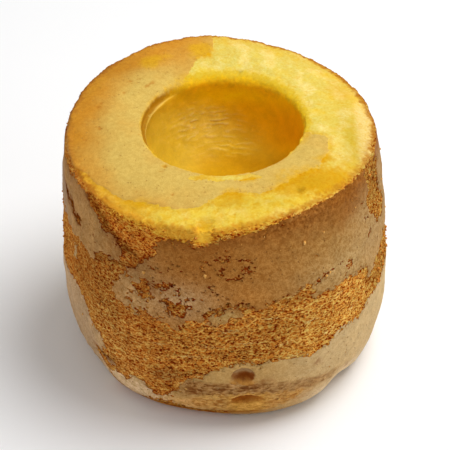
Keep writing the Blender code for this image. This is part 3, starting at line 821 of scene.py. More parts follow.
    # the torn crumb runs through gold to yellow where it meets the top
    lit = np.zeros(len(sel))
    for lb, level, wide_, tall_, slope in LIGHTS:
        near = np.abs(turn_from(b, lb)) < 8.0
        lu = unrolled(b[near], lb) + 0.5 * noise(p[near], 1.6, 124)
        lv = h[near] - level - slope * lu + 0.5 * noise(p[near], 1.3, 125)
        lit[near] = np.maximum(lit[near], np.exp(-((lu / wide_) ** 2 + (lv / tall_) ** 2)))
    ul = smooth(14.0, 6.0, e) * smooth(-92.0, -110.0, b) * smooth(-166.0, -148.0, b)
    grain = grain * (1.0 + ul[:, None] * np.array([0.26, 0.12, -0.12]))
    golden_right = smooth(-92.0, -52.0, b) * smooth(40.0, 0.0, b)
    grain = grain * (1.0 + golden_right[:, None] * np.array([0.01, 0.13, 0.22]))
    golden_left = smooth(-112.0, -136.0, b)
    grain = grain * (1.0 + golden_left[:, None] * np.array([0.0, 0.09, 0.24]))
    lower_left = smooth(44.0, 32.0, h)[:, None]
    grain = grain * (1.0 + leftish[:, None] * (np.array([-0.20, -0.30, -0.34]) + lower_left * np.array([0.14, 0.20, 0.28])))
    fringe = smooth(-146.0, -124.0, b) * smooth(-62.0, -78.0, b)
    speck = 1.3 * noise(p, 2.2, 93) + 0.9 * noise(p, 0.9, 94)
    near_top = smooth(4.0, -0.2, e + 1.2 * speck - 2.6 * np.exp(-((unrolled(b, -103.0) / 9.0) ** 2))) * fringe
    warmer = smooth(7.5, 2.0, e + 1.6 * speck) * (0.4 + 0.6 * fringe)
    shade = smooth(-0.05, -0.75, crumb)
    grain = blend(grain, CRUMB_DARK, np.clip(shade * 0.85 * (1 - 0.9 * near_top), 0, 1))
    # brown smudges on the crumb, and painted shadow under the front skin's lower edge
    grain = blend(grain, SMUDGE_AND_SHADOW_BROWN * 0.8, np.clip(smudge_and_shadow * 0.9, 0, 1))
    grain = blend(grain, linear("D08228"), warmer * 0.6)
    grain = blend(grain, linear("EE9A2C"), smooth(0.0, 0.5, near_top) * 0.85)
    grain = blend(grain, linear("F6B238"), smooth(0.40, 1.0, near_top) * 0.9)
    # painted highlights on the torn edges and flaps listed in LIGHTS
    grain = blend(grain, linear("EAB566"), lit * 0.70)
    grain = blend(grain, linear("A8652C"), stain * 0.6)
    centre = np.exp(-((unrolled(b, -92.0) / 18.0) ** 2 + ((h - 47.5) / 4.5) ** 2))
    grain = grain * (1.0 + 0.18 * centre)[:, None] * np.array([0.825, 0.85, 0.92])
    grain = grain * (1.0 + 0.10 * np.exp(-((unrolled(b, -42.0) / 9.0) ** 2 + ((h - 50.0) / 8.0) ** 2)) - 0.30 * smooth(-40.0, -24.0, b) * smooth(36.0, -4.0, b) - 0.12 * rear)[:, None]
    grain = grain * (1.0 - 0.18 * smooth(-122.0, -132.0, b) * smooth(-158.0, -150.0, b) * smooth(66.0, 58.0, h) * smooth(24.0, 36.0, h))[:, None]
    grain = grain * (1.0 - 0.12 * np.exp(-((unrolled(b, -73.0) / 17.0) ** 2 + ((h - 42.0) / 6.5) ** 2)))[:, None]

    streaky[sel] = np.clip(wrinkle + 0.6 * gold, 0, 1)
    skin[sel] = np.where(gold > 0.5, np.maximum(s_skin, 0.4), s_skin)
    skin[sel] = np.where((dimple > 0.5) | (hollow > 0.5), 1.0, skin[sel])
    under[sel] = s_under
    mild[sel] = np.maximum(near_top * 0.65, 0.40 * smooth(-128.0, -146.0, b))
    lift[sel] = side_lift
    relief[sel] = crumb
    skin_tone[sel] = tone
    crumb_tone[sel] = grain
    mottled[sel] = 1.0 - 0.5 * low * smooth(-110.0, -95.0, b) - 0.25 * np.clip(left, 0, 1)

    # ---- top (and the inner part of the outer edge)
    sel = np.flatnonzero((part == TOP) | on_edge | (part == LIP))
    p = points[sel]
    wob_x = 0.9 * noise(p, 5.0, 71) + 0.6 * noise(p, 1.9, 72) + 0.35 * noise(p, 0.9, 73)
    wob_y = 0.9 * noise(p, 5.0, 74) + 0.6 * noise(p, 1.9, 75) + 0.35 * noise(p, 0.9, 76)
    px, py = p[:, 0] + wob_x, p[:, 1] + wob_y
    t_skin = inside(px, py, SKIN_TOP)
    # bare yellow crumb just in front of the well's lip
    t_skin = np.minimum(t_skin, -spot(px, py + 0.5 * noise(p, 0.9, 131), 0.3, -26.6, 12.0, 2.2) * 2.0)
    golds = np.zeros(len(sel))
    grit = noise(p, 1.3, 95) + 0.8 * noise(p, 0.65, 96)
    for gx, gy, wide, deep, strength in GOLDS:
        away = np.sqrt(((px - gx) / wide) ** 2 + ((py - gy) / deep) ** 2) + 0.28 * grit
        golds = np.maximum(golds, strength * smooth(1.35, 0.65, away))
    pit = np.zeros(len(sel))
    for gx, gy, wide, deep in PITS:
        pit = np.maximum(pit, np.exp(-(((px - gx) / wide) ** 2 + ((py - gy) / deep) ** 2)))
    # a short crack at the back left
    cx, cy = px + 25.0, py - 23.5
    along, across_ = 0.45 * cx + 0.89 * cy, 0.89 * cx - 0.45 * cy
    pit = np.maximum(pit, 0.9 * np.exp(-((along / 2.6) ** 4 + (across_ / 0.4) ** 2)))
    pore_away, _, pore_tag = cells(p, 1.7, 77)
    pores = smooth(0.30, 0.12, pore_away) * (pore_tag > 0.88)
    t_crumb = 0.16 * noise(p, 2.6, 78) + 0.11 * noise(p, 1.1, 79) + 0.08 * noise(p, 0.7, 80) - 0.12 * pores
    t_film = 0.12 * noise(p, 5.0, 81) + 0.045 * noise(p, 1.5, 82) + 0.03 * noise(p, 0.8, 83) - 0.08 * pores
    on = smooth(-0.22, 0.22, t_skin)
    t_lift = (t_crumb - 0.16) * (1 - on) + (t_film + 0.08) * on - 0.25 * pit
    t_lift = t_lift + 0.35 * noise(p, (14.0, 14.0, 14.0), 84)
    away = top_in[sel]
    tb = bearing[sel]
    near_edge = np.exp(-((np.maximum(away, 0) / 2.4) ** 2))
    chips = 0.42 * layered(p, (3.4, 3.4, 2.6), 61, 3, 0.6) + 0.40 * noise(p, 7.5, 118)
    edge_grit = noise(p, 1.1, 69) + 0.7 * noise(p, 0.6, 70)
    t_lift = t_lift + near_edge * (chips - 0.1 + 0.14 * edge_grit)

    left = smooth(-26.0, -50.0, p[:, 0])
    outer = smooth(15.0, 3.0, away)
    back_left = smooth(22.0, 42.0, p[:, 1]) * smooth(0.0, -12.0, p[:, 0])
    t_tone = np.tile(TOP_TAN, (len(sel), 1))
    orange = 0.62 * left + 0.45 * outer * smooth(10.0, -25.0, p[:, 0]) + 0.22 * noise(p, 8.0, 85) + 0.10 * noise(p, 2.6, 97) + 0.62 * back_left - 0.35 * smooth(6.0, -14.0, p[:, 1]) * smooth(-24.0, -34.0, p[:, 0])
    t_tone = blend(t_tone, TOP_ORANGE, np.clip(orange, 0, 1))
    t_tone = blend(t_tone, TOP_GOLD, golds * 0.85)
    t_tone = t_tone * (1.0 + 0.05 * noise(p, 2.2, 86) + 0.05 * noise(p, 0.9, 87))[:, None]
    t_tone = blend(t_tone, linear("B4721E"), pit * 0.8)
    t_tone = t_tone * (1.0 - pores[:, None] * np.array([0.10, 0.24, 0.40]))
    t_grain = np.tile(TOP_YELLOW, (len(sel), 1))
    front = smooth(-22.0, -38.0, p[:, 1]) * smooth(-60.0, -30.0, p[:, 0])
    right_side = smooth(28.0, 40.0, p[:, 0]) * smooth(34.0, 10.0, p[:, 1])
    lemon = front * 0.75 + 0.45 * smooth(0.10, 0.6, noise(p, 7.0, 88)) + 0.30 * smooth(0.1, 0.6, noise(p, 2.6, 89)) + 0.45 * right_side
    t_grain = blend(t_grain, TOP_LEMON, np.clip(lemon, 0, 1))
    t_grain = blend(t_grain, linear("F0DE94"), 0.5 * smooth(-0.1, 0.6, noise(p, 6.0, 98) + 0.4 * noise(p, 2.4, 99)) * (1 - 0.5 * front))
    flecked = smooth(0.12, 0.50, noise(p, (3.6, 2.2, 3.0), 143) + 0.6 * noise(p, 1.2, 144))
    t_grain = blend(t_grain, linear("DCB024"), flecked * (0.15 + 0.45 * front + 0.15 * right_side))
    t_grain = t_grain * (1.0 - 0.08 * np.exp(-(((p[:, 0] - 40.0) / 4.0) ** 2 + ((p[:, 1] - 8.0) / 14.0) ** 2)))[:, None]
    t_grain = blend(t_grain, linear("F0DFA0"), 0.8 * smooth(42.5, 45.5, p[:, 0] + 0.5 * grit) * smooth(-25.0, -16.0, p[:, 1]) * smooth(20.0, 12.0, p[:, 1]))
    lb = np.degrees(np.arctan2(p[:, 1] - WELL_CENTRE[1], p[:, 0] - WELL_CENTRE[0]))
    from_lip = well_r[sel] - WELL_RADIUS - lip_round(np.radians(lb))
    lip_back = smooth(52.0, 30.0, np.abs(turn_from(lb, 84.0)))
    lip_side = smooth(50.0, 34.0, np.abs(turn_from(lb, 14.0)))
    fringe_in = smooth(1.0, 0.0, (from_lip + 1.0 * grit + 0.8 * noise(p, 3.0, 132)) / np.maximum(2.8 * lip_back, 2.4 * lip_side + 0.1)) * np.maximum(lip_back, lip_side)
    # orange gold where the crumb shows at the left of the front
    t_grain = blend(t_grain, linear("E0A63C"), 0.75 * smooth(-18.0, -34.0, p[:, 0]) * smooth(10.0, -10.0, p[:, 1]))
    seam = np.exp(-(((t_skin + 0.7 + 0.5 * grit) / 0.8) ** 2)) * smooth(20.0, 0.0, p[:, 1])
    t_grain = blend(t_grain, TOP_GOLD, np.clip(golds + 0.55 * seam, 0, 1))
    t_grain = blend(t_grain, linear("E6CA50"), smooth(0.1, 0.8, fringe_in) * 0.6)
    t_grain = blend(t_grain, linear("D0AE1E"), smooth(0.75, 1.0, fringe_in) * 0.7)
    t_tone = blend(t_tone, linear("D6A62E"), fringe_in * 0.5)
    fleck = np.clip(0.5 * noise(p, 1.6, 90) + 0.6 * noise(p, 0.8, 91) - 0.1, -1, 0)[:, None]
    t_grain = t_grain * (1.0 + fleck * np.array([0.06, 0.20, 0.45])) * (1.0 - pores[:, None] * np.array([0.08, 0.22, 0.45])) * (1.0 - 0.4 * pit)[:, None]
    # browned and speckled towards the outer edge, more so on the left and right than in front
    behind = smooth(-30.0, -8.0, tb) * smooth(168.0, 146.0, tb)
    band = 0.7 - 0.5 * behind + -0.45 * np.exp(-((turn_from(tb, 176.0) / 20.0) ** 2)) + 0.3 * np.exp(-((turn_from(tb, 130.0) / 30.0) ** 2))
    band = band - 0.55 * np.exp(-((turn_from(tb, -4.0) / 24.0) ** 2)) - 0.5 * np.exp(-((turn_from(tb, -100.0) / 24.0) ** 2))
    band = band - 0.45 * np.exp(-((turn_from(tb, -31.0) / 12.0) ** 2)) - 0.3 * np.exp(-((turn_from(tb, -68.0) / 10.0) ** 2))
    specks = 0.9 * noise(p, 3.0, 92) + 1.0 * grit
    front_right = np.exp(-((turn_from(tb, -44.0) / 26.0) ** 2))
    toast = smooth(band + 0.9, band - 1.3, away + specks) * (1.0 - 0.4 * front_right)
    at_left = np.maximum(np.exp(-((turn_from(tb, 177.0) / 22.0) ** 2)), np.exp(-((turn_from(tb, -161.0) / 9.0) ** 2)))
    rust = smooth(0.55 * band + 0.6, 0.55 * band - 1.2, away + specks)
    warm = np.exp(-((np.maximum(away, 0) / 6.0) ** 2)) * (0.34 - 0.24 * smooth(-25.0, -42.0, p[:, 1]))
    t_tone = blend(blend(blend(t_tone, TOP_ORANGE, warm), linear("C8882C"), toast * (0.85 - 0.3 * at_left)), RIM_BROWN, rust * (0.65 - 0.4 * at_left))
    in_front = smooth(-150.0, -128.0, tb) * smooth(-58.0, -76.0, tb)
    t_grain = blend(blend(blend(t_grain, TOP_GOLD, warm), linear("D69C2C"), toast * 0.85), RIM_BROWN, rust * (0.7 - 0.5 * np.maximum(in_front, 0.85 * front_right)))

    w = smooth(0.0, 1.0, (over[sel] + 0.10 * grit * (over[sel] < 1.0) - 0.25 + 0.22 * behind + 0.12 * front_right) / (0.60 - 0.25 * behind))
    t_grain = t_grain * (1.0 - 0.18 * np.exp(-(((p[:, 0] - 42.0) / 5.0) ** 2 + ((p[:, 1] + 9.0) / 15.0) ** 2)) - 0.10 * np.exp(-(((p[:, 0] - 27.0) / 9.0) ** 2 + ((p[:, 1] + 31.0) / 4.0) ** 2)) - 0.13 * np.exp(-(((p[:, 0] - 9.0) / 13.0) ** 2 + ((p[:, 1] + 40.0) / 4.0) ** 2)))[:, None]
    t_tone = t_tone * (1.0 - 0.07 * smooth(-34.0, -42.0, p[:, 0]) * smooth(-20.0, -10.0, p[:, 1]))[:, None]
    lemony = np.exp(-(((p[:, 0] - 40.5) / 3.5) ** 2 + ((p[:, 1] + 8.0) / 9.0) ** 2))
    t_grain = t_grain * (1.0 - lemony[:, None] * np.array([0.0, 0.0, 0.25]))
    t_tone = t_tone * (1.0 - 0.16 * np.exp(-(((p[:, 0] + 34.0) / 8.0) ** 2 + ((p[:, 1] - 33.0) / 9.0) ** 2)))[:, None]
    lift[sel] = lift[sel] * (1 - w) + t_lift * w
    skin[sel] = skin[sel] * (1 - w) + t_skin * w
    relief[sel] = relief[sel] * (1 - w) + (0.5 * t_crumb) * w
    skin_tone[sel] = blend(skin_tone[sel], t_tone, w)
    crumb_tone[sel] = blend(crumb_tone[sel], t_grain, w)

    # ---- well
    sel = np.flatnonzero(part >= LIP)
    p = points[sel]
    into = np.where(part[sel] == LIP, share[sel] / (math.pi / 2), 1.0)
    w_lift = 0.22 * noise(p, 9.0, 101) + 0.10 * noise(p, 3.0, 102) + 0.05 * noise(p, 1.2, 103)
    wb = np.degrees(np.arctan2(p[:, 1] - WELL_CENTRE[1], p[:, 0] - WELL_CENTRE[0]))
    drop = lip_height(np.radians(wb)) - p[:, 2]
    tilted = p[:, 2] * 0.783 + p[:, 1] * 0.623
    # wrinkles across the back wall: long thin wavy ridges, broken into strokes
    px_, py_ = p[:, 0], tilted
    face = np.stack([px_, py_, 0 * px_], -1)
    bend = py_ + 0.012 * (px_ + 2.0) ** 2 + 1.1 * noise(face, (8.0, 6.0, 1.0), 104) + 0.75 * noise(face, (2.8, 2.2, 1.0), 110)
    ridge = np.maximum(0.0, np.cos(bend * (2 * math.pi / 1.75))) ** 1.7
    ridge = ridge * smooth(-0.45, 0.20, noise(face, (5.0, 1.7, 1.0), 105) + 0.5 * noise(face, (2.0, 1.1, 1.0), 108))
    patch = np.exp(-(((px_ + 5.5) / 9.0) ** 2 + ((py_ - 68.0) / 5.4) ** 2) ** 1.6)
    patch = np.maximum(patch, 0.7 * np.exp(-(((px_ - 3.5) / 7.5) ** 2 + ((py_ - 60.5) / 3.2) ** 2) ** 1.6))
    wide_patch = np.exp(-(((px_ + 6.0) / 17.0) ** 2 + ((py_ - 66.0) / 10.0) ** 2) ** 1.6)
    bend2 = py_ - 0.42 * px_ + 1.2 * noise(face, (6.0, 5.0, 1.0), 145) + 0.6 * noise(face, (2.2, 1.8, 1.0), 146)
    steep = np.maximum(0.0, np.cos(bend2 * (2 * math.pi / 2.0))) ** 2.0
    steep = steep * smooth(-0.20, 0.30, noise(face, (3.2, 1.5, 1.0), 147))
    share2 = smooth(0.0, -9.0, px_ + 1.5 * noise(face, (5.0, 5.0, 1.0), 148))
    ridge = np.maximum(ridge * (1.0 - 0.55 * share2), steep * share2)
    ridge = ridge * np.clip(patch + 0.35 * wide_patch, 0, 1) * (drop > 2.0)
    w_lift = w_lift + 0.36 * ridge
    # crease along the left wall under the ledge
    leftness = smooth(50.0, 24.0, np.abs(turn_from(wb, 168.0)))
    crease = np.exp(-(((drop - 3.4 - 0.4 * noise(p, 4.0, 119)) / 0.24) ** 2)) * leftness
    w_lift = w_lift + 0.16 * crease - 0.20 * np.exp(-(((drop - 1.9) / 0.9) ** 2)) * leftness
    w_tone = np.tile(WELL_GOLD, (len(sel), 1))
    # painted shade: deeper, more saturated orange towards the right wall and the upper back wall of the well
    deep = np.clip(smooth(-2.0, 16.0, px_ + 0.9 * (py_ - 68.0)) + 0.8 * smooth(72.0, 79.0, py_ - 0.10 * px_), 0, 1)
    w_tone = blend(w_tone, WELL_DEEP, deep)
    w_tone = blend(w_tone, linear("E8A408"), 0.8 * smooth(12.0, 24.0, px_) * smooth(58.0, 64.0, py_) * smooth(79.0, 70.0, py_))
    # painted highlight: a lighter patch where the wrinkles catch the light
    w_tone = blend(w_tone, linear("E4BE4C"), 0.45 * patch)
    w_tone = blend(w_tone, linear("C69404"), 0.85 * smooth(62.0, 55.0, py_ + 0.10 * px_) * smooth(-16.0, -4.0, px_))
    w_tone = blend(w_tone, linear("CAA428"), 0.8 * smooth(70.0, 64.0, py_) * smooth(-6.0, -16.0, px_))
    # painted shadow: a brown crescent on the steep band under the lip on the left
    w_tone = blend(w_tone, linear("9C660C"), leftness * smooth(0.2, 0.9, drop) * smooth(3.4, 2.9, drop) * 0.9)
    w_tone = blend(w_tone, linear("B98A10"), leftness * smooth(3.4, 4.2, drop) * smooth(8.0, 4.5, drop + 1.5 * noise(p, 2.0, 128)) * 0.6)
    rightward = smooth(-6.0, 8.0, px_) * smooth(78.0, 68.0, py_)
    w_tone = w_tone * (1.0 + rightward[:, None] * np.array([0.03, -0.045, -0.10]))
    upper_back = np.exp(-((px_ + 1.0) / 12.0) ** 2 - ((py_ - 73.0) / 8.5) ** 2)
    w_tone = w_tone * (1.0 + upper_back[:, None] * np.array([0.10, 0.08, -0.10]))
    w_tone = w_tone * (1.0 + 0.12 * np.exp(-(((px_ + 4.0) / 7.0) ** 2 + ((py_ - 69.0) / 4.5) ** 2)))[:, None]
    # painted highlights on the wrinkle ridges and along the crease
    w_tone = blend(w_tone, linear("EACB78"), np.clip(crease * 0.45 + ridge * 0.85, 0, 1))
    lower_right = np.exp(-(((px_ - 4.0) / 8.0) ** 2 + ((py_ - 59.0) / 5.0) ** 2))
    w_tone = w_tone * (1.0 - lower_right[:, None] * np.array([0.0, 0.02, 0.60]))
    under_lip = np.exp(-(((px_ - 5.0) / 14.0) ** 2)) * smooth(74.0, 78.0, py_) + 0.5 * np.exp(-(((px_ - 24.0) / 4.5) ** 2 + ((py_ - 74.0) / 4.0) ** 2))
    w_tone = w_tone * (1.0 + under_lip[:, None] * np.array([0.08, 0.19, 0.0]))
    w_tone = w_tone * (1.0 - 0.20 * np.exp(-(((px_ + 14.0) / 5.0) ** 2 + ((py_ - 79.0) / 3.5) ** 2)))[:, None]
    # a grainy golden edge where the lip rolls in, deep at the back and narrow on the right and front left
    at_back = smooth(50.0, 30.0, np.abs(turn_from(wb, 82.0)))
    at_right = smooth(60.0, 40.0, np.abs(turn_from(wb, 10.0)))
    at_front = smooth(40.0, 24.0, np.abs(turn_from(wb, -130.0)))
    reach_in = np.maximum(np.maximum(6.4 * at_back, 2.8 * at_right), np.maximum(2.4 * at_front, 0.3))
    depth_in = (drop + 1.3 * noise(p, 1.6, 120) + 0.9 * noise(p, 0.8, 121)) / reach_in
    golden_lip = smooth(1.0, 0.35, depth_in) * np.clip(at_back + at_right + at_front, 0, 1)
    lip_tone = blend(np.tile(linear("E2BA1C"), (len(sel), 1)), linear("ECAA12"), smooth(0.15, 0.8, depth_in) * at_back)
    lip_tone = lip_tone * (1.0 + 0.22 * noise(p, 1.1, 140) + 0.16 * noise(p, 0.6, 141))[:, None]
    # painted light: warmer orange where the back lip turns down, standing in for light scattered through the crumb
    turning = np.exp(-(((drop - 2.0) / 1.3) ** 2)) * at_back
    lip_tone = lip_tone * (1.0 + turning[:, None] * np.array([0.14, 0.02, -0.15]))
    w_tone = w_tone * (1 - 0.9 * golden_lip[:, None]) + lip_tone * 0.9 * golden_lip[:, None]
    w_lift = w_lift + golden_lip * 0.14 * noise(p, 0.9, 122)
    # the lip is uneven along the front and right
    uneven = smooth(2.6, 0.6, drop) * smooth(0.1, 0.6, into) * smooth(110.0, 80.0, np.abs(turn_from(wb, -60.0)))
    w_lift = w_lift + uneven * (0.55 * noise(p, 5.0, 129) + 0.30 * noise(p, 1.8, 130))
    w_tone = w_tone * (1.0 + 0.09 * noise(p, 4.0, 106) + 0.06 * noise(p, 1.3, 107) + 0.05 * noise(p, 0.7, 109))[:, None]
    ww = smooth(0.15, 0.75, into + 0.25 * noise(p, 1.3, 123) * (into < 1.0))
    lift[sel] = lift[sel] * (1 - ww) + w_lift * ww
    skin_tone[sel] = blend(skin_tone[sel], w_tone, ww)
    crumb_tone[sel] = blend(crumb_tone[sel], w_tone, ww)
    skin[sel] = skin[sel] * (1 - ww) + 2.0 * ww
    well[sel] = ww

    # ---- chipped place in the front of the rim, where the yellow crumb runs over the edge
    u = unrolled(bearing, -96.6) + 0.9 * noise(points, 2.0, 111) + 0.8 * noise(points, 0.9, 126)
    lobe = np.clip(1.0 - (u / np.where(u > 0, 2.7, 4.2)) ** 2, 0, 1)
    reach = (part == SIDE) | on_edge | on_top
    ramp = np.where(over < 0.5, smooth(75.0, 84.5, z), smooth(5.0, 0.0, top_in))
    lift = lift - 1.5 * lobe * ramp * reach
    chip = lobe * reach * np.where(over < 0.5, smooth(75.2, 79.0, z + 1.2 * noise(points, 1.6, 112) + 0.9 * noise(points, 0.8, 127)), smooth(4.0, 0.8, top_in + 0.8 * noise(points, 1.6, 112)))
    # painted light: the lower, side-facing part of the chip is painted brighter and more orange, where the side gets
    # less light than the top
    lower = smooth(82.5, 80.0, z) * (over < 0.99)
    crumb_tone = blend(crumb_tone, linear("E8A22E"), smooth(0.05, 0.4, chip) * 0.85 * (0.25 + 0.75 * lower))
    crumb_tone = blend(crumb_tone, blend(np.tile(linear("DEB02C"), (count, 1)), linear("FFCA44"), lower), smooth(0.30, 0.85, chip) * 0.9)
    skin = np.where(chip > 0.35, -1.0, skin)
    mild = np.maximum(mild, np.clip(chip * 1.3, 0, 0.85))

    flat = part == BASE
    lift[flat] = 0.0
    skin[flat] = 1.0
    moved = points + normal * lift[:, None]
    moved[:, 2] = np.maximum(moved[:, 2], 0.0)
    moved[flat] = points[flat]
    fields = {
        "skin": skin,
        "relief": relief,
        "under": under,
        "streaky": streaky,
        "mottled": mottled,
        "well": well,
        "top": np.maximum(over, mild),
        "skin_tone": np.clip(skin_tone, 0, 1),
        "crumb_tone": np.clip(crumb_tone, 0, 1),
    }
    return moved, fields


# ---------------------------------------------------------------------- materials
class Graph:
    """Short names for the nodes of one material."""

    def __init__(self, name):
        self.material = bpy.data.materials.new(name)
        self.material.use_nodes = True
        self.tree = self.material.node_tree
        self.shader = self.tree.nodes["Principled BSDF"]
        self.tree.nodes.remove(self.tree.nodes["Material Output"])
        out = self.tree.nodes.new("ShaderNodeOutputMaterial")
        self.tree.links.new(self.shader.outputs[0], out.inputs[0])

    def link(self, source, target):
        if isinstance(source, (int, float)):
            target.default_value = source
        elif isinstance(source, (tuple, list, np.ndarray)):
            target.default_value = tuple(float(v) for v in source) + ((1.0,) if len(source) == 3 and target.type == "RGBA" else ())
        else:
            self.tree.links.new(source, target)

    def field(self, name, colour=False):
        node = self.tree.nodes.new("ShaderNodeAttribute")
        node.attribute_name = name
        return node.outputs["Color"] if colour else node.outputs["Fac"]

    def place(self, scale=(1.0, 1.0, 1.0)):
        coords = self.tree.nodes.new("ShaderNodeTexCoord")
        node = self.tree.nodes.new("ShaderNodeMapping")
        node.inputs["Scale"].default_value = tuple(1000.0 * s for s in scale)
        self.tree.links.new(coords.outputs["Object"], node.inputs["Vector"])
        return node.outputs["Vector"]

    def noise(self, vector, size, detail=2.0, rough=0.5):
        node = self.tree.nodes.new("ShaderNodeTexNoise")
        node.inputs["Scale"].default_value = 1.0 / size
        node.inputs["Detail"].default_value = detail
        node.inputs["Roughness"].default_value = rough
        self.tree.links.new(vector, node.inputs["Vector"])
        return node.outputs["Fac"]

    def cells(self, vector, size, feature="F1"):
        node = self.tree.nodes.new("ShaderNodeTexVoronoi")
        node.feature = feature
        node.inputs["Scale"].default_value = 1.0 / size
        self.tree.links.new(vector, node.inputs["Vector"])
        return node.outputs["Distance"], node.outputs.get("Color")

    def warp(self, vector, size, amount):
        node = self.tree.nodes.new("ShaderNodeTexNoise")
        node.inputs["Scale"].default_value = 1.0 / size
        self.tree.links.new(vector, node.inputs["Vector"])
        add = self.tree.nodes.new("ShaderNodeVectorMath")
        add.operation = "MULTIPLY_ADD"
        self.tree.links.new(node.outputs["Color"], add.inputs[0])
        add.inputs[1].default_value = (amount, amount, amount)
        self.tree.links.new(vector, add.inputs[2])
        return add.outputs[0]

    def math(self, how, a, b=0.0, c=0.0):
        node = self.tree.nodes.new("ShaderNodeMath")
        node.operation = how
        for value, socket in zip((a, b, c), node.inputs):
            self.link(value, socket)
        return node.outputs[0]

    def steps(self, value, low, high, out_low=0.0, out_high=1.0):
        node = self.tree.nodes.new("ShaderNodeMapRange")
        node.interpolation_type = "SMOOTHSTEP"
        for key, v in (("Value", value), ("From Min", low), ("From Max", high), ("To Min", out_low), ("To Max", out_high)):
            self.link(v, node.inputs[key])
        return node.outputs["Result"]

    def mix(self, factor, a, b, how="MIX"):
        node = self.tree.nodes.new("ShaderNodeMix")
        node.data_type = "RGBA"
        node.blend_type = how
        node.clamp_factor = True
        self.link(factor, node.inputs[0])
        self.link(a, node.inputs[6])
        self.link(b, node.inputs[7])
        return node.outputs[2]

    def blend(self, factor, a, b):
        node = self.tree.nodes.new("ShaderNodeMix")
        node.data_type = "FLOAT"
        self.link(factor, node.inputs[0])
        self.link(a, node.inputs[2])
        self.link(b, node.inputs[3])
        return node.outputs[0]

    def bump(self, height, distance, strength=1.0, normal=None):
        node = self.tree.nodes.new("ShaderNodeBump")
        node.inputs["Strength"].default_value = strength
        node.inputs["Distance"].default_value = distance
        self.link(height, node.inputs["Height"])
        if normal is not None:
            self.tree.links.new(normal, node.inputs["Normal"])
        return node.outputs["Normal"]


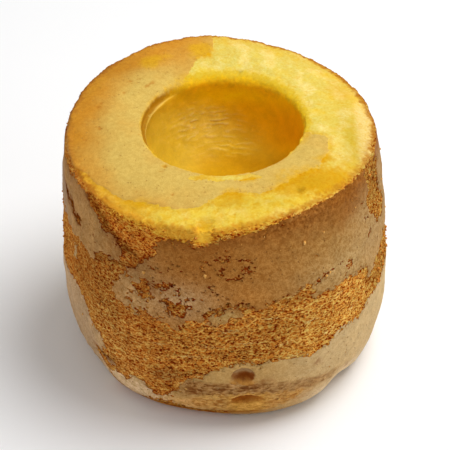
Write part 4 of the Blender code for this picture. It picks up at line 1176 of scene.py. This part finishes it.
def body_material():
    g = Graph("cake_crust_and_crumb")
    at = g.place()
    flat = g.place((1.0, 1.0, 1.6))
    skin, relief, under, well, top = (g.field(k) for k in ("skin", "relief", "under", "well", "top"))
    on_top = g.steps(top, 0.2, 0.8)
    grit = g.noise(flat, 0.8, 3.0, 0.62)
    grain = g.noise(g.place((0.85, 0.85, 1.25)), 0.80, 1.0, 0.6)
    fine = g.noise(at, 0.36, 2.0, 0.6)
    ragged = g.math("MULTIPLY_ADD", g.math("SUBTRACT", grit, 0.5), 0.7, skin)
    mask = g.steps(ragged, -0.06, 0.06)

    # bare crumb: pale thin bowed walls, lying mostly level, over darker cells; the dark of the low places is partly the
    # crumb's colour and partly painted shade, and the pale walls are partly painted light
    bent = g.warp(g.place((0.80, 0.80, 1.35)), 0.9, 0.35)
    long = g.warp(g.place((0.42, 0.42, 1.10)), 1.1, 0.55)
    strand = g.math("MULTIPLY", g.math("ABSOLUTE", g.math("SUBTRACT", g.noise(long, 1.28, 1.0, 0.5), 0.5)), -12.0)
    strand = g.math("MAXIMUM", g.math("ADD", strand, 1.0), 0.0)
    thread = g.math("MULTIPLY", g.math("ABSOLUTE", g.math("SUBTRACT", g.noise(bent, 1.22, 1.0, 0.5), 0.5)), -12.0)
    thread = g.math("MAXIMUM", g.math("ADD", thread, 1.0), 0.0)
    wall = g.math("MAXIMUM", strand, g.math("MULTIPLY", thread, 0.75))
    grains = g.math("MULTIPLY_ADD", g.math("SUBTRACT", grit, 0.5), 1.2, g.math("MULTIPLY", relief, 0.85))
    grains = g.math("MULTIPLY_ADD", g.math("SUBTRACT", grain, 0.5), 3.2, grains)
    grains = g.math("MULTIPLY_ADD", wall, 0.75, grains)
    grains = g.math("SUBTRACT", grains, 0.18)
    base = g.field("crumb_tone", True)
    deep = g.mix(g.steps(grains, -0.48, 0.16), g.mix(1.0, base, (0.40, 0.098, 0.012), "MULTIPLY"), g.mix(1.0, base, (1.02, 0.90, 0.68), "MULTIPLY"))
    pale = g.math("MULTIPLY", g.steps(wall, 0.38, 0.85), g.steps(grains, -0.15, 0.55, 0.10, 1.0))
    side_crumb = g.mix(pale, deep, g.mix(1.0, base, (1.30, 2.05, 2.9), "MULTIPLY"))
    soft = g.math("MULTIPLY_ADD", g.math("SUBTRACT", grit, 0.5), 1.6, relief)
    top_crumb = g.mix(g.steps(soft, -0.45, 0.4), g.mix(1.0, base, (0.95, 0.84, 0.52), "MULTIPLY"), g.mix(1.0, base, (1.03, 1.05, 1.16), "MULTIPLY"))
    shade = g.math("MULTIPLY", g.steps(ragged, -0.80, -0.10), under)
    shade = g.math("MULTIPLY", shade, g.math("MULTIPLY_ADD", on_top, -0.8, 1.0))
    side_crumb = g.mix(shade, side_crumb, g.mix(1.0, base, (0.39, 0.094, 0.012), "MULTIPLY"))
    crumb = g.mix(on_top, side_crumb, top_crumb)

    # skin: fine mottling and pinholes
    pin, pin_tag = g.cells(at, 1.3)
    pinhole = g.steps(pin, 0.23, 0.12)
    pinhole = g.math("MULTIPLY", pinhole, g.steps(pin_tag, 0.66, 0.70))
    pinhole = g.math("MULTIPLY", pinhole, g.math("SUBTRACT", 1.0, well))
    mottle = g.noise(at, 1.3, 3.0, 0.6)
    tone = g.field("skin_tone", True)
    speck = g.math("MULTIPLY_ADD", g.math("SUBTRACT", fine, 0.5), 1.1, mottle)
    film = g.mix(g.steps(speck, 0.26, 0.74), g.mix(1.0, tone, (0.78, 0.67, 0.50), "MULTIPLY"), g.mix(1.0, tone, (1.18, 1.24, 1.36), "MULTIPLY"))
    calm = g.math("MAXIMUM", g.math("MULTIPLY", well, 0.8), g.math("MULTIPLY", on_top, 0.62))
    film = g.mix(g.math("MAXIMUM", calm, g.math("SUBTRACT", 1.0, g.field("mottled"))), film, tone)
    dashes = g.noise(g.warp(g.place((0.55, 0.55, 1.15)), 1.4, 0.6), 1.0, 2.0, 0.6)
    streak = g.math("MULTIPLY", g.field("streaky"), g.steps(dashes, 0.53, 0.60))
    film = g.mix(g.math("MULTIPLY", streak, 0.6), film, g.mix(1.0, tone, (0.52, 0.34, 0.16), "MULTIPLY"))
    # painted highlight: a light line along the skin's torn edge, where its thickness catches the light
    edge_highlight = g.math("MULTIPLY", g.steps(ragged, 0.05, 0.14), g.steps(ragged, 0.42, 0.22))
    edge_highlight = g.math("MULTIPLY", edge_highlight, g.steps(under, 0.13, 0.32))
    film = g.mix(g.math("MULTIPLY", edge_highlight, g.math("MULTIPLY_ADD", on_top, -0.35, 0.35)), film, g.mix(1.0, tone, (1.30, 1.40, 1.55), "MULTIPLY"))
    side_pin = g.mix(on_top, (0.16, 0.045, 0.006), (0.55, 0.27, 0.05))
    film = g.mix(g.math("MULTIPLY", pinhole, 0.65), film, side_pin)
    colour = g.mix(mask, crumb, film)
    g.link(colour, g.shader.inputs["Base Color"])

    rough = g.blend(mask, 0.95, g.blend(g.steps(fine, 0.3, 0.7), 0.68, 0.8))
    rough = g.blend(well, rough, g.blend(mottle, 0.36, 0.52))
    g.link(rough, g.shader.inputs["Roughness"])
    g.link(g.blend(mask, 0.0, g.blend(well, 0.08, 0.11)), g.shader.inputs["Specular IOR Level"])
    g.shader.inputs["Specular Tint"].default_value = (1.0, 0.78, 0.32, 1.0)
    g.shader.inputs["Subsurface Weight"].default_value = 0.0
    g.shader.inputs["Subsurface Radius"].default_value = (1.0, 0.50, 0.12)
    g.shader.inputs["Subsurface Scale"].default_value = 0.0010

    sponge = g.math("MULTIPLY_ADD", wall, 0.60, g.math("MULTIPLY", grit, 1.2))
    sponge = g.math("MULTIPLY_ADD", fine, 0.4, sponge)
    smooth_skin = g.math("SUBTRACT", g.math("MULTIPLY", fine, 0.28), g.math("MULTIPLY", pinhole, 0.75))
    smooth_skin = g.math("MULTIPLY_ADD", mottle, 0.30, smooth_skin)
    height = g.blend(mask, g.math("MULTIPLY", sponge, g.blend(on_top, 1.0, 0.28)), smooth_skin)
    height = g.math("MULTIPLY", height, g.blend(well, 1.0, 0.5))
    g.link(g.bump(height, 0.00026), g.shader.inputs["Normal"])
    return g.material


def crumb_material(name, pale, dark):
    g = Graph(name)
    at = g.place()
    grit = g.noise(at, 0.6, 3.0, 0.6)
    colour = g.mix(g.steps(grit, 0.3, 0.7), tuple(dark), tuple(pale))
    g.link(colour, g.shader.inputs["Base Color"])
    g.link(g.steps(grit, 0.2, 0.8, 0.85, 0.96), g.shader.inputs["Roughness"])
    g.shader.inputs["Specular IOR Level"].default_value = 0.0
    g.link(g.bump(grit, 0.0002), g.shader.inputs["Normal"])
    return g.material


def floor_material():
    g = Graph("pale_floor")
    at = g.place((0.001, 0.001, 0.001))
    tint = g.noise(at, 0.35, 3.0, 0.5)
    g.link(g.mix(tint, (0.90, 0.90, 0.90), (0.92, 0.92, 0.92)), g.shader.inputs["Base Color"])
    g.shader.inputs["Roughness"].default_value = 0.8
    g.shader.inputs["Specular IOR Level"].default_value = 0.2
    return g.material


# ------------------------------------------------------- loose crumbs and flakes
def ball():
    """A coarse round, as points and triangles."""
    t = (1 + math.sqrt(5)) / 2
    v = [(-1, t, 0), (1, t, 0), (-1, -t, 0), (1, -t, 0), (0, -1, t), (0, 1, t), (0, -1, -t), (0, 1, -t), (t, 0, -1), (t, 0, 1), (-t, 0, -1), (-t, 0, 1)]
    f = [(0, 11, 5), (0, 5, 1), (0, 1, 7), (0, 7, 10), (0, 10, 11), (1, 5, 9), (5, 11, 4), (11, 10, 2), (10, 7, 6), (7, 1, 8), (3, 9, 4), (3, 4, 2), (3, 2, 6), (3, 6, 8), (3, 8, 9), (4, 9, 5), (2, 4, 11), (6, 2, 10), (8, 6, 7), (9, 8, 1)]
    points = [np.array(p, float) / math.sqrt(1 + t * t) for p in v]
    faces = []
    middle = {}

    def mid(a, b):
        key = (min(a, b), max(a, b))
        if key not in middle:
            m = points[a] + points[b]
            points.append(m / np.linalg.norm(m))
            middle[key] = len(points) - 1
        return middle[key]

    for a, b, c in f:
        ab, bc, ca = mid(a, b), mid(b, c), mid(c, a)
        faces += [(a, ab, ca), (b, bc, ab), (c, ca, bc), (ab, bc, ca)]
    return np.array(points), np.array(faces)


def crumbs(name, spots, normals, sizes, rng, material):
    """Lumpy crumbs pressed into the torn surface, as one mesh."""
    unit, tri = ball()
    all_points, all_faces = [], []
    for k, (spot_, normal_, size) in enumerate(zip(spots, normals, sizes)):
        stretch = rng.uniform(0.65, 1.2, 3)
        spin, _ = np.linalg.qr(rng.normal(size=(3, 3)))
        if np.linalg.det(spin) < 0:
            spin[:, 0] *= -1
        lump = 1.0 + 0.55 * noise(unit * 3.0 + k * 7.3, 2.0, 201) + 0.22 * noise(unit * 3.0 + k * 3.1, 0.9, 202)
        body = (unit * lump[:, None] * stretch) @ spin.T * size * 0.5
        all_points.append(body + spot_ + normal_ * size * 0.22)
        all_faces.append(tri + k * len(unit))
    mesh = mesh_of(name, np.concatenate(all_points), np.concatenate(all_faces))
    mesh.shade_smooth()
    mesh.materials.append(material)
    piece = bpy.data.objects.new(name, mesh)
    bpy.context.scene.collection.objects.link(piece)
    return piece


def scatter(made):
    points, normal, moved, part, fields = made
    rng = np.random.default_rng(31)
    skin = fields["skin"]
    relief = fields["relief"]
    z = points[:, 2]
    torn = np.flatnonzero((part == SIDE) & (skin < -0.4) & (z > 7) & (relief > 0.1))
    pick = rng.choice(torn, 620, replace=False)
    sizes = 0.45 + 0.75 * rng.random(len(pick)) ** 2.2
    golden = crumb_material("crumb_golden", linear("E29A46"), linear("A05612"))
    piece = crumbs("crumbs_golden", moved[pick], normal[pick], sizes, rng, golden)
    # a few paler ones, also on the skin
    pale = crumb_material("crumb_pale", linear("F0BE70"), linear("CC8C3A"))
    skin_spots = np.flatnonzero((part == SIDE) & (z > 10) & (z < 80))
    pick = rng.choice(skin_spots, 60, replace=False)
    chosen = list(pick)
    for b, level in ((-118.0, 62.0), (-118.0, 25.0), (-113.0, 27.0), (-138.5, 38.5), (-96.5, 65.0), (-61.0, 72.5), (-52.0, 58.0), (-53.5, 57.5), (-71.0, 11.0)):
        away = np.abs(turn_from(np.degrees(np.arctan2(points[:, 1], points[:, 0])), b)) * 0.94 + np.abs(z - level) + (part != SIDE) * 99
        chosen.append(int(np.argmin(away)))
    chosen = np.array(chosen)
    sizes = np.concatenate([0.3 + 0.5 * rng.random(60) ** 2, np.full(9, 1.15)])
    pale_piece = crumbs("crumbs_pale", moved[chosen], normal[chosen], sizes, rng, pale)
    return [piece, pale_piece]


# ------------------------------------------------------------------------ stage
def stage():
    bpy.ops.mesh.primitive_plane_add(size=6.0, location=(0, 0, 0))
    floor = bpy.context.object
    floor.name = "floor"
    floor.data.materials.append(floor_material())

    def lamp(name, place, aim, size, power, colour=(1, 1, 1)):
        data = bpy.data.lights.new(name, "AREA")
        data.shape = "DISK"
        data.size = size
        data.energy = power
        data.color = colour
        obj = bpy.data.objects.new(name, data)
        obj.location = place
        obj.rotation_euler = (Vector(aim) - Vector(place)).to_track_quat("-Z", "Y").to_euler()
        bpy.context.scene.collection.objects.link(obj)

    lamp("key", (0.30, 0.10, 0.76), (0, 0, 0.05), 0.56, 5.7)
    lamp("fill_right", (0.80, -0.45, 0.30), (0, 0, 0.04), 0.5, 1.3)
    lamp("fill_left", (-0.80, -0.10, 0.30), (0, 0, 0.04), 0.5, 1.15)

    world = bpy.data.worlds.new("studio")
    bpy.context.scene.world = world
    world.use_nodes = True
    world.node_tree.nodes["Background"].inputs[0].default_value = (1.0, 1.0, 1.0, 1.0)
    world.node_tree.nodes["Background"].inputs[1].default_value = 0.38
    bpy.context.scene.view_settings.view_transform = "Standard"


def camera():
    tilt = math.radians(38.5)
    look = Vector((0, math.cos(tilt), -math.sin(tilt)))
    up = Vector((0, math.sin(tilt), math.cos(tilt)))
    target = Vector((MIDDLE[0], MIDDLE[1], 39.0)) * MM
    place = target - look * 0.800
    aim = target + up * 0.00313 + Vector((1, 0, 0)) * 0.0003
    data = bpy.data.cameras.new("camera")
    data.sensor_width = 36.0
    data.lens = 186.05
    data.clip_start = 0.05
    data.clip_end = 30.0
    obj = bpy.data.objects.new("camera", data)
    obj.location = place
    obj.rotation_euler = (aim - place).to_track_quat("-Z", "Y").to_euler()
    bpy.context.scene.collection.objects.link(obj)
    bpy.context.scene.camera = obj


camera()
stage()
body, made = build_body()
body.data.materials.clear()
body.data.materials.append(body_material())
pieces = [body] + scatter(made)
for piece in pieces:
    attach(piece, "root")
    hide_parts("cake")
